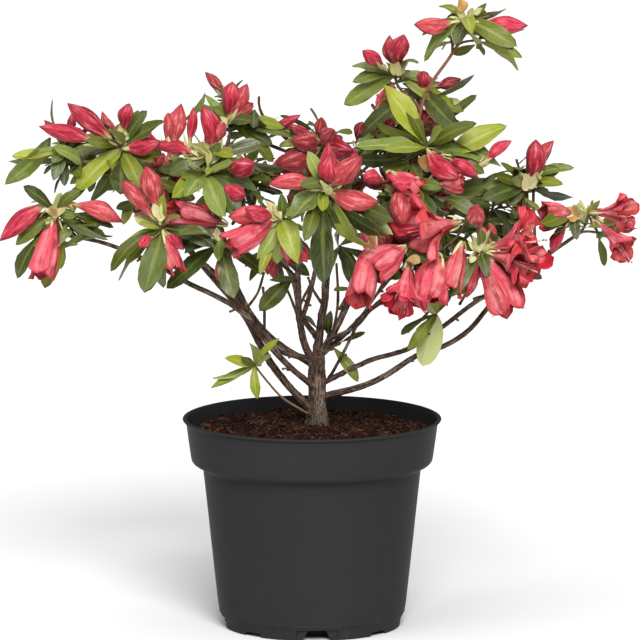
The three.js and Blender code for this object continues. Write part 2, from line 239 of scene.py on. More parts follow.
class Finish:
    """A material under construction: each call adds a node and hands back what comes out of it."""

    def __init__(self, name):
        self.material = bpy.data.materials.new(name)
        self.material.use_nodes = True
        self.tree = self.material.node_tree
        self.shader = self.tree.nodes["Principled BSDF"]

    def node(self, kind, values=None, **settings):
        """The outputs of a new node, with values on its inputs and settings on the node itself."""
        made = self.tree.nodes.new(kind)
        for name, value in settings.items():
            setattr(made, name, value)
        for key, value in (values or {}).items():
            self.feed(made.inputs[key], value)
        return made.outputs

    def feed(self, socket, value):
        """Puts a value on a socket: a link where it comes from a node, or else a constant."""
        if isinstance(value, bpy.types.NodeSocket):
            self.tree.links.new(value, socket)
        else:
            socket.default_value = value

    def sum_of(self, operation, *values):
        """One sum on one or two numbers, by its name in Blender."""
        return self.node("ShaderNodeMath", dict(enumerate(values)), operation=operation)[0]

    def plus(self, first, second):
        """first + second"""
        return self.sum_of("ADD", first, second)

    def less(self, first, second):
        """first - second"""
        return self.sum_of("SUBTRACT", first, second)

    def times(self, first, *others):
        """The product of all of them."""
        for other in others:
            first = self.sum_of("MULTIPLY", first, other)
        return first

    def off_middle(self, value):
        """How far the part of a value after its point lies from a half."""
        return self.sum_of("ABSOLUTE", self.less(self.sum_of("FRACT", value), 0.5))

    def blend(self, share, start, end):
        """From one colour to another, each a screen colour or what comes out of a node.

        A mix node takes its colours on sockets 6 and 7, and its first socket is the share.
        """
        start, end = (paint(*colour) if isinstance(colour, tuple) else colour for colour in (start, end))
        return self.node("ShaderNodeMix", {0: share, 6: start, 7: end}, data_type="RGBA")[2]

    def coats(self, colour, *layers):
        """A colour with others laid over it in turn, each given by its share and itself."""
        for share, over in layers:
            colour = self.blend(share, colour, over)
        return colour

    def step(self, value, low, high):
        """From 0 to 1 as value goes from low to high, with soft ends."""
        values = {"Value": value, "From Min": low, "From Max": high}
        return self.node("ShaderNodeMapRange", values, interpolation_type="SMOOTHSTEP")[0]

    def ramp(self, share, start, end):
        """From start to end in a straight line as share goes from 0 to 1."""
        return self.node("ShaderNodeMapRange", {"Value": share, "To Min": start, "To Max": end})[0]

    def noise(self, place, scale, detail=3.0, roughness=0.55):
        """Cloudy noise from 0 to 1, mostly near a half. Detail is how many finer layers it has."""
        values = {"Vector": place, "Scale": scale, "Detail": detail, "Roughness": roughness}
        return self.node("ShaderNodeTexNoise", values)["Fac"]

    def streaks(self, across, along, roughness=0.65):
        """Noise that follows a shape, where across and along count its repeats each way."""
        place = self.node("ShaderNodeCombineXYZ", {"X": across, "Y": along})[0]
        return self.noise(place, 1.0, 4.0, roughness)

    def object_place(self):
        """Where a point lies on the object, in metres."""
        return self.node("ShaderNodeTexCoord")["Object"]

    def parts(self, vector):
        """A vector's X, Y and Z."""
        return self.node("ShaderNodeSeparateXYZ", {"Vector": vector})

    def drawn_out(self, vector, *scale):
        """A place squeezed along each axis, so that a pattern read from it is drawn out there."""
        return self.node("ShaderNodeMapping", {"Vector": vector, "Scale": scale})[0]

    def bump(self, height, depth):
        """A surface direction that shades as if the height, from 0 to 1, were relief of this depth."""
        return self.node("ShaderNodeBump", {"Height": height, "Distance": depth, "Strength": 1.0})["Normal"]

    def done(self, **values):
        """Feeds the shader's sockets, named with _ for a space, and gives the material."""
        for name, value in values.items():
            self.feed(self.shader.inputs[name.replace("_", " ")], value)
        return self.material


print("screen grey 128 is", round(paint(128, 128, 128)[0], 3), "in linear light")

# %% [markdown]
# ## The pot
#
# The real pot is pressed from thin black plastic: a tapering wall, a wider collar that stiffens the
# mouth, a thin rolled lip, and a foot with notches to let water out. A lathe turns its outline
# round the upright axis, which is right for everything but the notches. Those could be cut with a
# boolean, but that leaves ragged faces that shade badly. Here the foot's edge is raised by a
# formula wherever a notch is, so the mesh stays one clean grid.

# %% The pot's outline
POT_HEIGHT = 155.0
FOOT_RADIUS = 65.6

# Radius and height from the foot's edge up to the lip, outside.
POT_OUTSIDE = [
    (65.8, 1.4), (66.1, 3.6), (66.4, 5.4), (66.8, 6.8), (67.4, 8.0), (67.9, 9.2), (68.1, 9.9),
    (68.5, 10.15), (68.75, 10.5), (68.6, 10.9), (68.7, 11.8), (69.0, 13.2), (69.4, 15.2),
    (70.1, 21.0), (71.3, 32.0), (72.6, 44.0), (73.9, 56.0), (75.2, 68.0), (76.4, 80.0),
    (77.7, 92.0), (79.0, 104.0), (79.9, 112.0), (80.4, 116.4), (80.7, 117.7), (81.3, 118.6),
    (82.6, 119.4), (84.4, 120.2), (86.3, 121.1), (87.8, 122.2), (88.8, 123.5), (89.3, 125.2),
    (90.0, 130.0), (91.0, 137.0), (92.1, 145.0), (92.9, 151.2), (93.1, 152.5), (93.4, 152.8),
    (94.3, 152.9), (95.1, 153.3), (95.5, 154.0), (95.2, 154.6), (94.5, 154.95),
]
# And down again inside, to just above the floor.
POT_INSIDE = [
    (93.6, 155.0), (92.7, 154.7), (92.2, 153.9), (91.7, 151.0), (90.6, 143.0), (88.6, 128.6),
    (87.8, 125.2), (86.6, 123.4), (84.4, 122.0), (81.4, 120.9), (79.4, 119.2), (78.8, 116.0),
    (78.2, 110.0), (74.8, 76.0), (71.0, 40.0), (68.8, 18.0), (67.4, 13.4), (64.0, 10.8),
]
# The flat middle of the floor stands on the ground, and the rest of it is lifted.
BASE_LIFT = 8.6
WELL_OUTSIDE = [(0, 0), (30, 0), (49.2, 0), (50.2, 0.6), (54.0, 7.8), (55.0, BASE_LIFT)]
WELL_INSIDE = [(53.2, 10.2), (52.4, 9.4), (49.4, 2.8), (48.4, 2.0), (0, 2.0)]
print("pot outline of", len(POT_OUTSIDE) + len(POT_INSIDE), "points,", POT_HEIGHT, "mm high")

# %% The drain notches
NOTCHES = 8
POT_TURN = np.radians(3.3)
# Half width at the top, half width at the foot and height: deep notches, then shallow ones.
DEEP = (5.6, 11.4, 7.7)
SHALLOW = (7.0, 8.2, 2.7)
# The sunk panels beside a deep notch: half the width of both, the depth, and the width of the edge.
PANEL_HALF = 15.2
PANEL_DEPTH = 1.7
PANEL_EDGE = 0.3
# How far from a notch's middle the columns stand, along the foot, and how many more fill the rest.
NOTCH_MARKS = [0, 2.8, 5.6, 6.4, 7.0, 7.4, 7.8, 8.2, 9.0, 10.2, 11.4, 13.0,
               PANEL_HALF - PANEL_EDGE, PANEL_HALF]
FAR_COLUMNS = 7
FOOT_THICK = 2.2


def notch_columns():
    """Angles round the pot, close together at each notch's edges and wide apart between them."""
    near = np.array(NOTCH_MARKS) / FOOT_RADIUS
    half_way = np.pi / NOTCHES
    far = np.linspace(near[-1], half_way, FAR_COLUMNS + 2)[1:-1]
    right_half = np.concatenate([near, far])
    local = np.concatenate([-right_half[:0:-1], right_half, [half_way]])
    front = POT_TURN - np.pi / 2
    return (front + local + 2 * half_way * np.arange(NOTCHES)[:, None]).ravel()


def notch_rise(angles):
    """How high the foot's edge is raised, and how far off the middle of a deep notch is.

    The rise is full within a notch's top and falls down its flanks in an S, from the half width at
    the top to the one at the foot.
    """
    sector = 2 * np.pi / NOTCHES
    from_front = angles + np.pi / 2 - POT_TURN
    number = np.round(from_front / sector)
    off_centre = np.abs(from_front - number * sector) * FOOT_RADIUS
    deep = number.astype(int) % 2 == 0
    half_top, half_foot, tall = np.where(deep[:, None], DEEP, SHALLOW).T
    share = np.clip((half_foot - off_centre) / (half_foot - half_top), 0, 1)
    return tall * share * share * (3 - 2 * share), np.where(deep, off_centre, 99.0)


def pot_grid():
    """Points of the pot as rows of outline by columns of angle.

    Each row is a radius and a height from the outline. At the foot the height is never less than
    the notch's rise. The panels beside a deep notch lean back, most at their top.
    """
    angles = notch_columns()
    rise, off_deep = notch_rise(angles)
    inner_foot = FOOT_RADIUS - FOOT_THICK
    ring = [(inner_foot - 1, BASE_LIFT), (inner_foot, BASE_LIFT - 1), (inner_foot, 1.2),
            (inner_foot + 0.3, 0.1), (FOOT_RADIUS - 0.4, 0.0), (FOOT_RADIUS, 0.5)]
    outline = np.array(WELL_OUTSIDE + ring + POT_OUTSIDE + POT_INSIDE + WELL_INSIDE, float)
    radius = np.repeat(outline[:, :1], len(angles), axis=1)
    height = np.repeat(outline[:, 1:], len(angles), axis=1)
    foot = (outline[:, 0] > inner_foot - 0.5) & (outline[:, 1] < DEEP[2] + 0.4)
    height[foot] = np.maximum(height[foot], rise + 0.05 * outline[foot, 1:])
    panel = (outline[:, 0] > FOOT_RADIUS - 0.9) & (outline[:, 1] < DEEP[2] + 0.3)
    inside_panel = np.clip((PANEL_HALF - off_deep) / PANEL_EDGE, 0, 1)
    radius[panel] -= PANEL_DEPTH * inside_panel * (0.25 + 0.75 * height[panel] / DEEP[2])
    return np.stack([radius * np.cos(angles), radius * np.sin(angles), height], axis=-1)


pot_points = pot_grid()
print("pot grid of", pot_points.shape[0], "rows by", pot_points.shape[1], "columns")

# %% [markdown]
# ## Black satin plastic
#
# Recycled black plastic isn't black all through: it's a dark charcoal whose faint, cloudy gloss
# comes from tiny flow marks and rubbed dust. A single roughness would make it look like painted
# metal. So the gloss is broken up by broad clouds, with fine upright scuffs where pots slide in and
# out of each other, pale specks, and a thin film of peat dust that is only found near the foot.

# %% Finish of the pot
def pot_finish():
    """Charcoal plastic with cloudy gloss, upright scuffs, specks, and dust that thins with height."""
    f = Finish("black_satin_plastic")
    place = f.object_place()
    clouds = f.noise(place, 14.0, 4.0)
    scuffs = f.step(f.noise(f.drawn_out(place, 1.0, 1.0, 0.05), 700.0, 2.0), 0.64, 0.78)
    specks = f.step(f.noise(place, 1500.0, 1.0), 0.7, 0.8)
    near_foot = f.step(f.parts(place)["Z"], 30 * MM, 4 * MM)
    dust = f.times(near_foot, f.step(f.noise(place, 90.0, 5.0), 0.45, 0.75))
    black = f.blend(clouds, (43, 43, 44), (50, 50, 51))
    colour = f.coats(black, (f.times(scuffs, 0.12), (70, 69, 68)),
                     (f.times(specks, 0.16), (78, 74, 70)), (f.times(dust, 0.1), (84, 72, 64)))
    rough = f.plus(f.ramp(clouds, 0.44, 0.56), f.times(scuffs, 0.08))
    relief = f.bump(f.noise(place, 320.0, 2.0), 0.04 * MM)
    return f.done(Base_Color=colour, Roughness=rough, Normal=relief, Specular_IOR_Level=0.04)


make_piece("pot_wall", [skin(pot_points[None])], pot_finish(), ["pot"], crease=38)

# %% [markdown]
# ## The peat
#
# Potting peat is a heap of dark crumbs and short fibres, loose on top and settled a little lower at
# the wall than round the stem. A flat disc with a bump pattern would do from above, but the camera
# sees it nearly edge on, where only real lumps break the outline. So there are three layers: a
# closed mound with gentle swells, thousands of crumbs, and hundreds of fibres.

# %% Random numbers and smooth noise
DRAW = np.random.default_rng(20)
LATTICE = 64


def swell_noise(x, y, size, seed):
    """Smooth noise from -1 to 1: random values on a square lattice, blended between its corners."""
    lattice = np.random.default_rng(seed).uniform(-1, 1, (LATTICE, LATTICE))
    column, row = x / size, y / size
    left, low = np.floor(column).astype(int), np.floor(row).astype(int)
    across, up = column - left, row - low
    across, up = across * across * (3 - 2 * across), up * up * (3 - 2 * up)
    lower, upper = (lattice[left % LATTICE, level % LATTICE] * (1 - across)
                    + lattice[(left + 1) % LATTICE, level % LATTICE] * across for level in (low, low + 1))
    return lower * (1 - up) + upper * up


print("noise on a lattice of", LATTICE, "by", LATTICE, "values")

# %% The mound
PEAT_EDGE_RADIUS = 90.0
PEAT_COLUMNS = 150
PEAT_ROWS = 44
# Radius and height of its underside, which fills the low middle of the pot's floor.
PEAT_FOOT = [(0, 2.6), (48.4, 2.6), (52.2, 11.2), (61, 11.2)]
# The heights of its rows up the pot's wall, and how far off the wall it stays.
PEAT_CLIMB = np.array([18.0, 40.0, 76.0, 112.0, 118.0, 122.0, 126.0, 134.0])
PEAT_ROOM = 0.5
PEAT_PROFILE = [(0, 149.2), (20, 149.0), (55, 147.0), (80, 144.6), (PEAT_EDGE_RADIUS, 142.6)]


def peat_height(x, y):
    """The mound's height: a profile that falls from the stem to the wall, and swells of two sizes."""
    far, tall = np.array(PEAT_PROFILE).T
    swells = 1.3 * swell_noise(x, y, 21.0, 2) + 0.7 * swell_noise(x, y, 7.0, 3)
    return np.interp(np.hypot(x, y), far, tall) + swells


def peat_mound():
    """A closed heap: up the wall from the pot's floor, then in over the mound to the middle."""
    angles = np.linspace(0, 2 * np.pi, PEAT_COLUMNS, endpoint=False)
    wall_radius, wall_height = np.array(POT_INSIDE[::-1]).T
    climb = np.interp(PEAT_CLIMB, wall_height, wall_radius) - PEAT_ROOM
    foot_radius, foot_height = np.array(PEAT_FOOT).T
    outer, low = np.concatenate([foot_radius, climb]), np.concatenate([foot_height, PEAT_CLIMB])
    over = np.linspace(PEAT_EDGE_RADIUS, 0, PEAT_ROWS)
    radius = np.concatenate([outer, over])[:, None]
    x, y = radius * np.cos(angles), radius * np.sin(angles)
    z = np.concatenate([np.repeat(low[:, None], PEAT_COLUMNS, axis=1), peat_height(x, y)[len(outer):]])
    return np.stack([x, y, z], axis=-1)


mound = peat_mound()
print("mound up to", round(mound[..., 2].max(), 1), "mm")

# %% Crumbs and fibres
CRUMBS = 5200
FIBRES = 900
FIBRE_RINGS = 6
FIBRE_REACH = 86.0
TINTS = 8


def tint_spots(across, along, tint):
    """Map spots inside one of eight upright strips, so that each shape shows one tint."""
    return np.stack([(tint + 0.04 + 0.92 * across) / TINTS, along + 0 * across], axis=-1)


def unit(vectors):
    """Vectors brought to a length of one."""
    return vectors / np.maximum(np.linalg.norm(vectors, axis=-1, keepdims=True), 1e-9)


def lumps(points, spots):
    """Eight-faced bodies from the six ends of their axes (lumps, 6, 3): each face joins three ends."""
    faces = [(0, 2, 4), (2, 1, 4), (1, 3, 4), (3, 0, 4), (2, 0, 5), (1, 2, 5), (3, 1, 5), (0, 3, 5)]
    corners = (np.array(faces)[None] + 6 * np.arange(len(points))[:, None, None]).reshape(-1, 3)
    return points.reshape(-1, 3) * MM, corners, spots.reshape(-1, 2)[corners]


def crumbs():
    """Lumps with three uneven axes, turned at random on the mound. Most are small, because the size
    grows with a power of an even draw."""
    around = DRAW.uniform(0, 2 * np.pi, CRUMBS)
    out = (PEAT_EDGE_RADIUS - 1.5) * np.sqrt(DRAW.uniform(0, 1, CRUMBS))
    x, y = out * np.cos(around), out * np.sin(around)
    size = 0.75 + 1.9 * DRAW.uniform(0, 1, CRUMBS) ** 2.2
    first = unit(DRAW.normal(size=(CRUMBS, 3)) * (1, 1, 0.5))
    second = unit(np.cross(first, DRAW.normal(size=(CRUMBS, 3))))
    third = np.cross(first, second)
    reach = size[:, None] * DRAW.uniform(0.55, 1.25, (CRUMBS, 6)) * (1.35, 1.35, 0.9, 0.9, 0.7, 0.7)
    middle = np.stack([x, y, peat_height(x, y) + 0.35 * size], axis=-1)
    axes = np.stack([first, -first, second, -second, third, -third], axis=1)
    tint = DRAW.integers(0, TINTS, CRUMBS)[:, None]
    spots = tint_spots(DRAW.uniform(0, 1, (CRUMBS, 6)), DRAW.uniform(0, 1, (CRUMBS, 6)), tint)
    return lumps(middle[:, None] + axes * reach[..., None], spots)


def fibre_paths():
    """Short strands on the mound: each goes its own way, bends, and dips at both ends."""
    around, out = DRAW.uniform(0, 2 * np.pi, FIBRES), FIBRE_REACH * np.sqrt(DRAW.uniform(0, 1, FIBRES))
    aim, bend = DRAW.uniform(0, 2 * np.pi, FIBRES), DRAW.normal(0, 0.5, FIBRES)
    length = DRAW.uniform(3, 11, FIBRES)
    t = np.linspace(-0.5, 0.5, FIBRE_RINGS)[None]
    turn = aim[:, None] + bend[:, None] * t
    x = (out * np.cos(around))[:, None] + length[:, None] * t * np.cos(turn)
    y = (out * np.sin(around))[:, None] + length[:, None] * t * np.sin(turn)
    lift = DRAW.uniform(0.8, 2.2, FIBRES)[:, None] * (1 - 5.2 * t * t)
    return np.stack([x, y, peat_height(x, y) + lift + DRAW.uniform(-0.6, 0.6, (FIBRES, 1)) * t * 4], axis=-1)


def map_place(f):
    """Where a point lies on the map: on which strip, that strip's number and tint, and how far up."""
    spot = f.parts(f.node("ShaderNodeUVMap", uv_map="OFBake")[0])
    strip = f.times(spot["X"], TINTS)
    number = f.sum_of("FLOOR", strip)
    return strip, number, f.sum_of("DIVIDE", number, TINTS - 1), spot["Y"]


def peat_finish(name, dark, light):
    """Matt brown that goes from dark to light by a fine speckle and by the tint of each crumb."""
    f = Finish(name)
    place = f.object_place()
    tint = map_place(f)[2]
    speckle = f.step(f.noise(place, 900.0, 4.0), 0.35, 0.7)
    share = f.plus(f.times(tint, 0.5), f.times(speckle, 0.45))
    relief = f.bump(f.noise(place, 1400.0, 2.0), 0.3 * MM)
    return f.done(Base_Color=f.blend(share, dark, light), Roughness=0.95, Normal=relief,
                  Specular_IOR_Level=0.15)


damp_peat = peat_finish("damp_peat", (13, 6, 3), (34, 18, 12))
make_piece("peat_mound", [skin(mound[None])], damp_peat, ["soil"])
make_piece("peat_crumbs", [crumbs()], peat_finish("peat_crumb", (16, 7, 4), (60, 35, 26)), crease=30)

# %% [markdown]
# ## Trunk and boughs
#
# An azalea has no single straight stem. It forks just above the peat, each bough runs out in easy
# bends, and the wood gets thinner at every fork. The model holds each limb as a plain tapering
# solid along a curve through a few bends. The same bends are given again here, so that the bark
# lies exactly where the solid is, and each limb's foot is found on its parent's curve.

# %% The limbs
# limb, its parent, the share of the parent's length at which it leaves, its radius at the foot and
# at the tip: its bends and then its tip, in mm
LIMB_NOTES = """
stem_centre trunk 0.97 3.2 2.2: 7 8 226, 10 16 245, 7 34 289, 1 44 340

stem_right trunk 0.95 2.5 1.8: 18 0 222, 28 -6 244, 49 -12 286, 68 -18 316

stem_left trunk 0.86 2.9 1.9: -4 -3 206, -9 -14 230, -10 -30 255, -11 -50 290

stem_front stem_left 0.34 1.8 1.3: -2 -34 251, 4 -58 281, 10 -70 310

bough_left trunk 0.9 2.5 1.9: -21 -4 205, -31 -6 214, -44 -9 229, -53 -12 245, -60 -16 273, -72 -24 318

bough_left_fork bough_left 0.52 1.8 1.2: -66 -28 263, -80 -40 277, -100 -54 298

bough_low_left trunk 0.5 2.3 1.4: -15 -9 193, -31 -15 211, -44 -20 230, -58 -22 242, -71 -20 249,
-91 -17 258, -112 -15 270, -149 -20 287, -178 -34 296

bough_left_rear trunk 0.16 2.8 1.6: -14 4 174, -29 5 193, -38 8 208, -50 12 230, -72 14 256, -140 -4 338

bough_right trunk 0.56 2 1.7: 43 -8 199, 71 -11 208, 97 -16 226, 113 -24 240, 130 -36 254

bough_low_right trunk 0.38 2.6 1.2: 40 -10 181, 55 -13 189, 77 -18 204, 100 -14 212, 116 -8 222,
132 -2 240, 161 4 266, 196 0 292

twig_right bough_right 0.06 1.2 0.9: 24 -12 207, 33 -20 227, 43 -32 246, 56 -44 264

bough_mid_right stem_right 0.12 1.5 1: 32 -6 224, 44 -14 239, 60 -32 256

shoot_left trunk 0.1 1 0.75: -9 -10 163, -22 -18 173, -33 -28 187, -42 -36 200

shoot_right bough_right 0.5 1 0.8: 74 -24 215, 84 -42 226

stem_top stem_right 1 1.5 1.1: 76 -22 370, 84 -18 400, 100 -17 424, 113 -18 444

bough_back_left trunk 0.8 2.4 1.4: -29 34 208, -46 52 225, -66 68 260, -110 82 308

bough_back_mid_left stem_centre 0.08 2.1 1.3: -9 46 226, -14 68 246, -34 90 280, -53 104 312

bough_back_mid stem_centre 0.2 2.1 1.3: 11 50 246, 13 88 280, 15 110 310

bough_back_mid_right stem_right 0.16 1.8 1.2: 29 40 240, 54 84 272, 74 104 300

bough_back_right trunk 0.94 1.9 1.2: 24 16 214, 41 34 228, 74 52 248, 116 68 280, 136 76 298
"""
TRUNK_PATH = [(3, 4, 148), (4, 4, 172), (4, 3, 190), (4, 2, 202)]
TRUNK_RADII = (6.8, 5.6)
# How much wider the trunk is at the peat, and the share of its length over which that dies away.
ROOT_FLARE = 1.9
FLARE_REACH = 0.12
PATH_POINTS = 200
STRETCH_STEPS = 60


def numbers_in(text):
    """The numbers that stand in a text, with spaces between them."""
    return [float(word) for word in text.split()]


def notes_in(text):
    """Each note's name, the words after it, and what follows its colon. Blank lines part the notes."""
    for note in text.split("\n\n"):
        head, rest = " ".join(note.split()).split(": ")
        name, *words = head.split()
        yield name, words, rest


LIMBS = {name: (parent, *map(float, numbers), [numbers_in(bend) for bend in rest.split(", ")])
         for name, (parent, *numbers), rest in notes_in(LIMB_NOTES)}
print(len(LIMBS), "limbs on one trunk")

# %% Smooth paths
def smooth_path(bends, count):
    """count points, evenly spaced along a curve through the bends.

    Each stretch is a cubic whose slopes at its two ends come from the bends on either side,
    weighed by the square root of the distances between them, which keeps tight bends from looping.
    """
    bends = np.array(bends, float)
    guides = np.concatenate([[2 * bends[0] - bends[1]], bends, [2 * bends[-1] - bends[-2]]])
    gaps = np.sqrt(np.linalg.norm(np.diff(guides, axis=0), axis=1))
    share = np.linspace(0, 1, STRETCH_STEPS)[:, None]
    stretches = []
    for i in range(1, len(guides) - 2):
        before, start, end, after = guides[i - 1:i + 3]
        lead, gap, trail = gaps[i - 1:i + 2]
        leaving = ((start - before) / lead - (end - before) / (lead + gap) + (end - start) / gap) * gap
        arriving = ((end - start) / gap - (after - start) / (gap + trail) + (after - end) / trail) * gap
        square = -3 * start + 3 * end - 2 * leaving - arriving
        cube = 2 * start - 2 * end + leaving + arriving
        stretches.append(start + leaving * share + square * share ** 2 + cube * share ** 3)
    return evened(np.concatenate(stretches), count)


def evened(dense, count):
    """The same path with count points at equal steps of length."""
    travelled = np.concatenate([[0], np.cumsum(np.linalg.norm(np.diff(dense, axis=0), axis=1))])
    steps = np.linspace(0, travelled[-1], count)
    return np.stack([np.interp(steps, travelled, dense[:, axis]) for axis in range(3)], axis=-1)


def path_length(path):
    """The sum of the steps from point to point."""
    return float(np.linalg.norm(np.diff(path, axis=0), axis=1).sum())


limb_paths = {"trunk": smooth_path(TRUNK_PATH, PATH_POINTS)}
for name, (parent, share, *_, bends) in LIMBS.items():
    foot = limb_paths[parent][round(share * (PATH_POINTS - 1))]
    limb_paths[name] = smooth_path([foot, *bends], PATH_POINTS)
print("wood in all:", round(sum(path_length(path) for path in limb_paths.values())), "mm")

# %% [markdown]
# ## Bark with relief
#
# A limb is a ring carried along its path. If each ring were set up afresh, the bark would twist
# wherever the path turns, so the ring's cross direction is passed on from ring to ring and only
# straightened against the path. The bark's ridges are part of the mesh: ridges that wander round
# the limb as they climb, a knob at every old leaf scar, and a swelling where a bough sets off.

# %% Tubes with relief
def cross_directions(paths):
    """Two directions across each of many paths (paths, rings, 3), turning as little as they can."""
    along = unit(np.gradient(paths, axis=1))
    across = np.empty_like(paths)
    upright = np.where(np.abs(along[:, 0, 2:]) > 0.9, (0.0, 1.0, 0.0), (0.0, 0.0, 1.0))
    held = unit(np.cross(upright, along[:, 0]))
    for ring in range(paths.shape[1]):
        held = unit(held - along[:, ring] * (held * along[:, ring]).sum(-1, keepdims=True))
        across[:, ring] = held
    return across, np.cross(along, across)


def tubes(paths, radii, sides, relief=None):
    """Round bodies along many paths: middle + radius times the ring, closed by a pole at each end.

    radii is (paths, rings), and relief (paths, rings, sides) multiplies the radius.
    """
    across, over = cross_directions(paths)
    angles = np.linspace(0, 2 * np.pi, sides, endpoint=False)
    reach = radii[..., None] * (np.ones(sides) if relief is None else relief)
    ring = across[:, :, None] * np.cos(angles)[:, None] + over[:, :, None] * np.sin(angles)[:, None]
    wall = paths[:, :, None] + ring * reach[..., None]
    start = np.repeat(paths[:, :1, None], sides, axis=2)
    end = np.repeat(paths[:, -1:, None], sides, axis=2)
    return np.concatenate([start, wall, end], axis=1)


RING_STEP = 1.5
FEWEST_RINGS = 8
BARK_SIDES = 20
RING_ANGLES = np.linspace(0, 2 * np.pi, BARK_SIDES, endpoint=False)
KNOB_STEP = 9.0
# How much a limb swells where it leaves its parent, and over how many mm that dies away.
COLLAR_SWELL = 0.3
COLLAR_REACH = 5.0
# How far apart the limbs lie in the bark's pattern, so that no two show the same piece of it.
GRAIN_APART = 40.0


def bark_relief(rings, length, radius, seed):
    """Ridges, knobs and wobble as a multiplier round 1.

    The ridges are four waves round the limb whose phase drifts as it climbs. A knob is a bump
    that fades with distance along the limb and with angle round it.
    """
    draw = np.random.default_rng(seed)
    climb = np.linspace(0, length, rings)[:, None]
    wall = np.ones((rings, BARK_SIDES))
    flutes = 0.03 + 0.012 * radius
    for waves, size in ((2, flutes), (3, flutes), (5, 0.05), (7, 0.04)):
        drift = np.cumsum(draw.normal(0, 0.12, rings))[:, None] + draw.uniform(0, 6.28)
        wall += size * np.sin(waves * RING_ANGLES + drift + climb * draw.uniform(-0.03, 0.03))
    knobs = int(length / KNOB_STEP)
    for spot, turn, height in zip(draw.uniform(0, length, knobs), draw.uniform(0, 6.28, knobs),
                                  draw.uniform(0.06, 0.3, knobs)):
        nearness = np.cos(RING_ANGLES - turn)
        wall += height * np.exp(-((climb - spot) / (0.9 * radius)) ** 2) * np.exp(3.0 * (nearness - 1))
    return wall + 0.025 * draw.normal(size=(rings, BARK_SIDES))


def limb_radius(name, share):
    """A radius that falls evenly from foot to tip, plus the trunk's root flare, or times the swelling
    where a limb leaves its parent. Both die away up the limb."""
    foot, tip = TRUNK_RADII if name == "trunk" else LIMBS[name][2:4]
    taper = foot + (tip - foot) * share
    if name == "trunk":
        return taper + ROOT_FLARE * np.exp(-share / FLARE_REACH)
    return taper * (1 + COLLAR_SWELL * np.exp(-share * path_length(limb_paths[name]) / COLLAR_REACH))


def bark_of(name, seed):
    """One limb's bark, and a grain vector for each point: across, over and along the limb in mm."""
    length = path_length(limb_paths[name])
    rings = max(FEWEST_RINGS, round(length / RING_STEP))
    path = evened(limb_paths[name], rings)
    radii = limb_radius(name, np.linspace(0, 1, rings))
    relief = bark_relief(rings, length, float(radii.mean()), seed)
    walls = tubes(path[None], radii[None], BARK_SIDES, relief[None])
    climb = np.pad(np.linspace(0, length, rings), 1, mode="edge")[:, None]
    thickness = np.pad(radii, 1, mode="edge")[:, None]
    grain = np.stack([thickness * np.cos(RING_ANGLES), thickness * np.sin(RING_ANGLES),
                      climb + GRAIN_APART * seed + 0 * RING_ANGLES], axis=-1)
    return skin(walls), grain.reshape(-1, 3)


GREEN_SHOOTS = ("shoot_left", "shoot_right")
barks = [bark_of(name, seed) for seed, name in enumerate(limb_paths) if name not in GREEN_SHOOTS]
print("bark rings in all:", sum(len(grain) for _, grain in barks) // BARK_SIDES)

# %% [markdown]
# ## The finish of the bark
#
# Young azalea wood is reddish brown and nearly smooth. Old wood is grey-brown and splits into thin
# upright strips, with darker grooves between and a greenish cast near the damp peat. The strips
# follow the limb, so the pattern can't be read from plain space: it reads the grain vector stored
# on each point, squeezed along the limb so that every speck is drawn out into a streak.

# %% Bark
def bark_finish():
    """Grey-brown streaks drawn out along the limb, dark grooves, pale scuffs and a green foot."""
    f = Finish("azalea_bark")
    grain = f.node("ShaderNodeAttribute", attribute_name="grain")["Vector"]
    place = f.object_place()
    strips = f.drawn_out(grain, 1.0, 1.0, 0.16)
    streaks = f.noise(strips, 1.1, 5.0, 0.65)
    fine = f.noise(strips, 3.4, 3.0)
    blotches = f.noise(place, 55.0, 3.0)
    wood = f.blend(f.step(streaks, 0.36, 0.64), (34, 22, 15), (112, 88, 74))
    pale = f.times(f.step(blotches, 0.47, 0.62), f.step(streaks, 0.42, 0.6), 0.85)
    height = f.parts(place)["Z"]
    damp = f.times(f.step(height, 172 * MM, 150 * MM), 0.6)
    young = f.times(f.step(height, 330 * MM, 400 * MM), 0.7)
    colour = f.coats(wood, (pale, (150, 136, 122)), (f.step(fine, 0.47, 0.36), (22, 13, 9)),
                     (damp, (56, 54, 36)), (young, (134, 88, 66)))
    relief = f.bump(f.plus(streaks, f.times(fine, 0.5)), 0.35 * MM)
    return f.done(Base_Color=colour, Roughness=0.82, Normal=relief, Specular_IOR_Level=0.3)


make_piece("bark", [surface for surface, _ in barks], bark_finish(),
           [name for name in limb_paths if name not in GREEN_SHOOTS],
           grain=np.concatenate([grain for _, grain in barks]))

# %% [markdown]
# ## Where everything grows
#
# At the end of each twig sits a bud cluster. Fat flower buds stand up in the middle, wrapped in
# pale scales, and a whorl of leaves spreads just below. Everything at a tip comes from one point,
# so a tip is written down as that hub, with a short row for each thing that grows there: its clock
# angle as seen from the front, how far its tip reaches from the hub, its length and its width.
#
# A whole bush could be left to chance, and the back of this one is. The front has a look of its
# own, so its hubs were measured one by one, and a seeded rule adds what the front doesn't show. Most
# rows come from a separate small program that turned measured ends into angles and mm, and a hundred
# or so were changed or added by hand. They are text, because many brackets would hide the numbers.

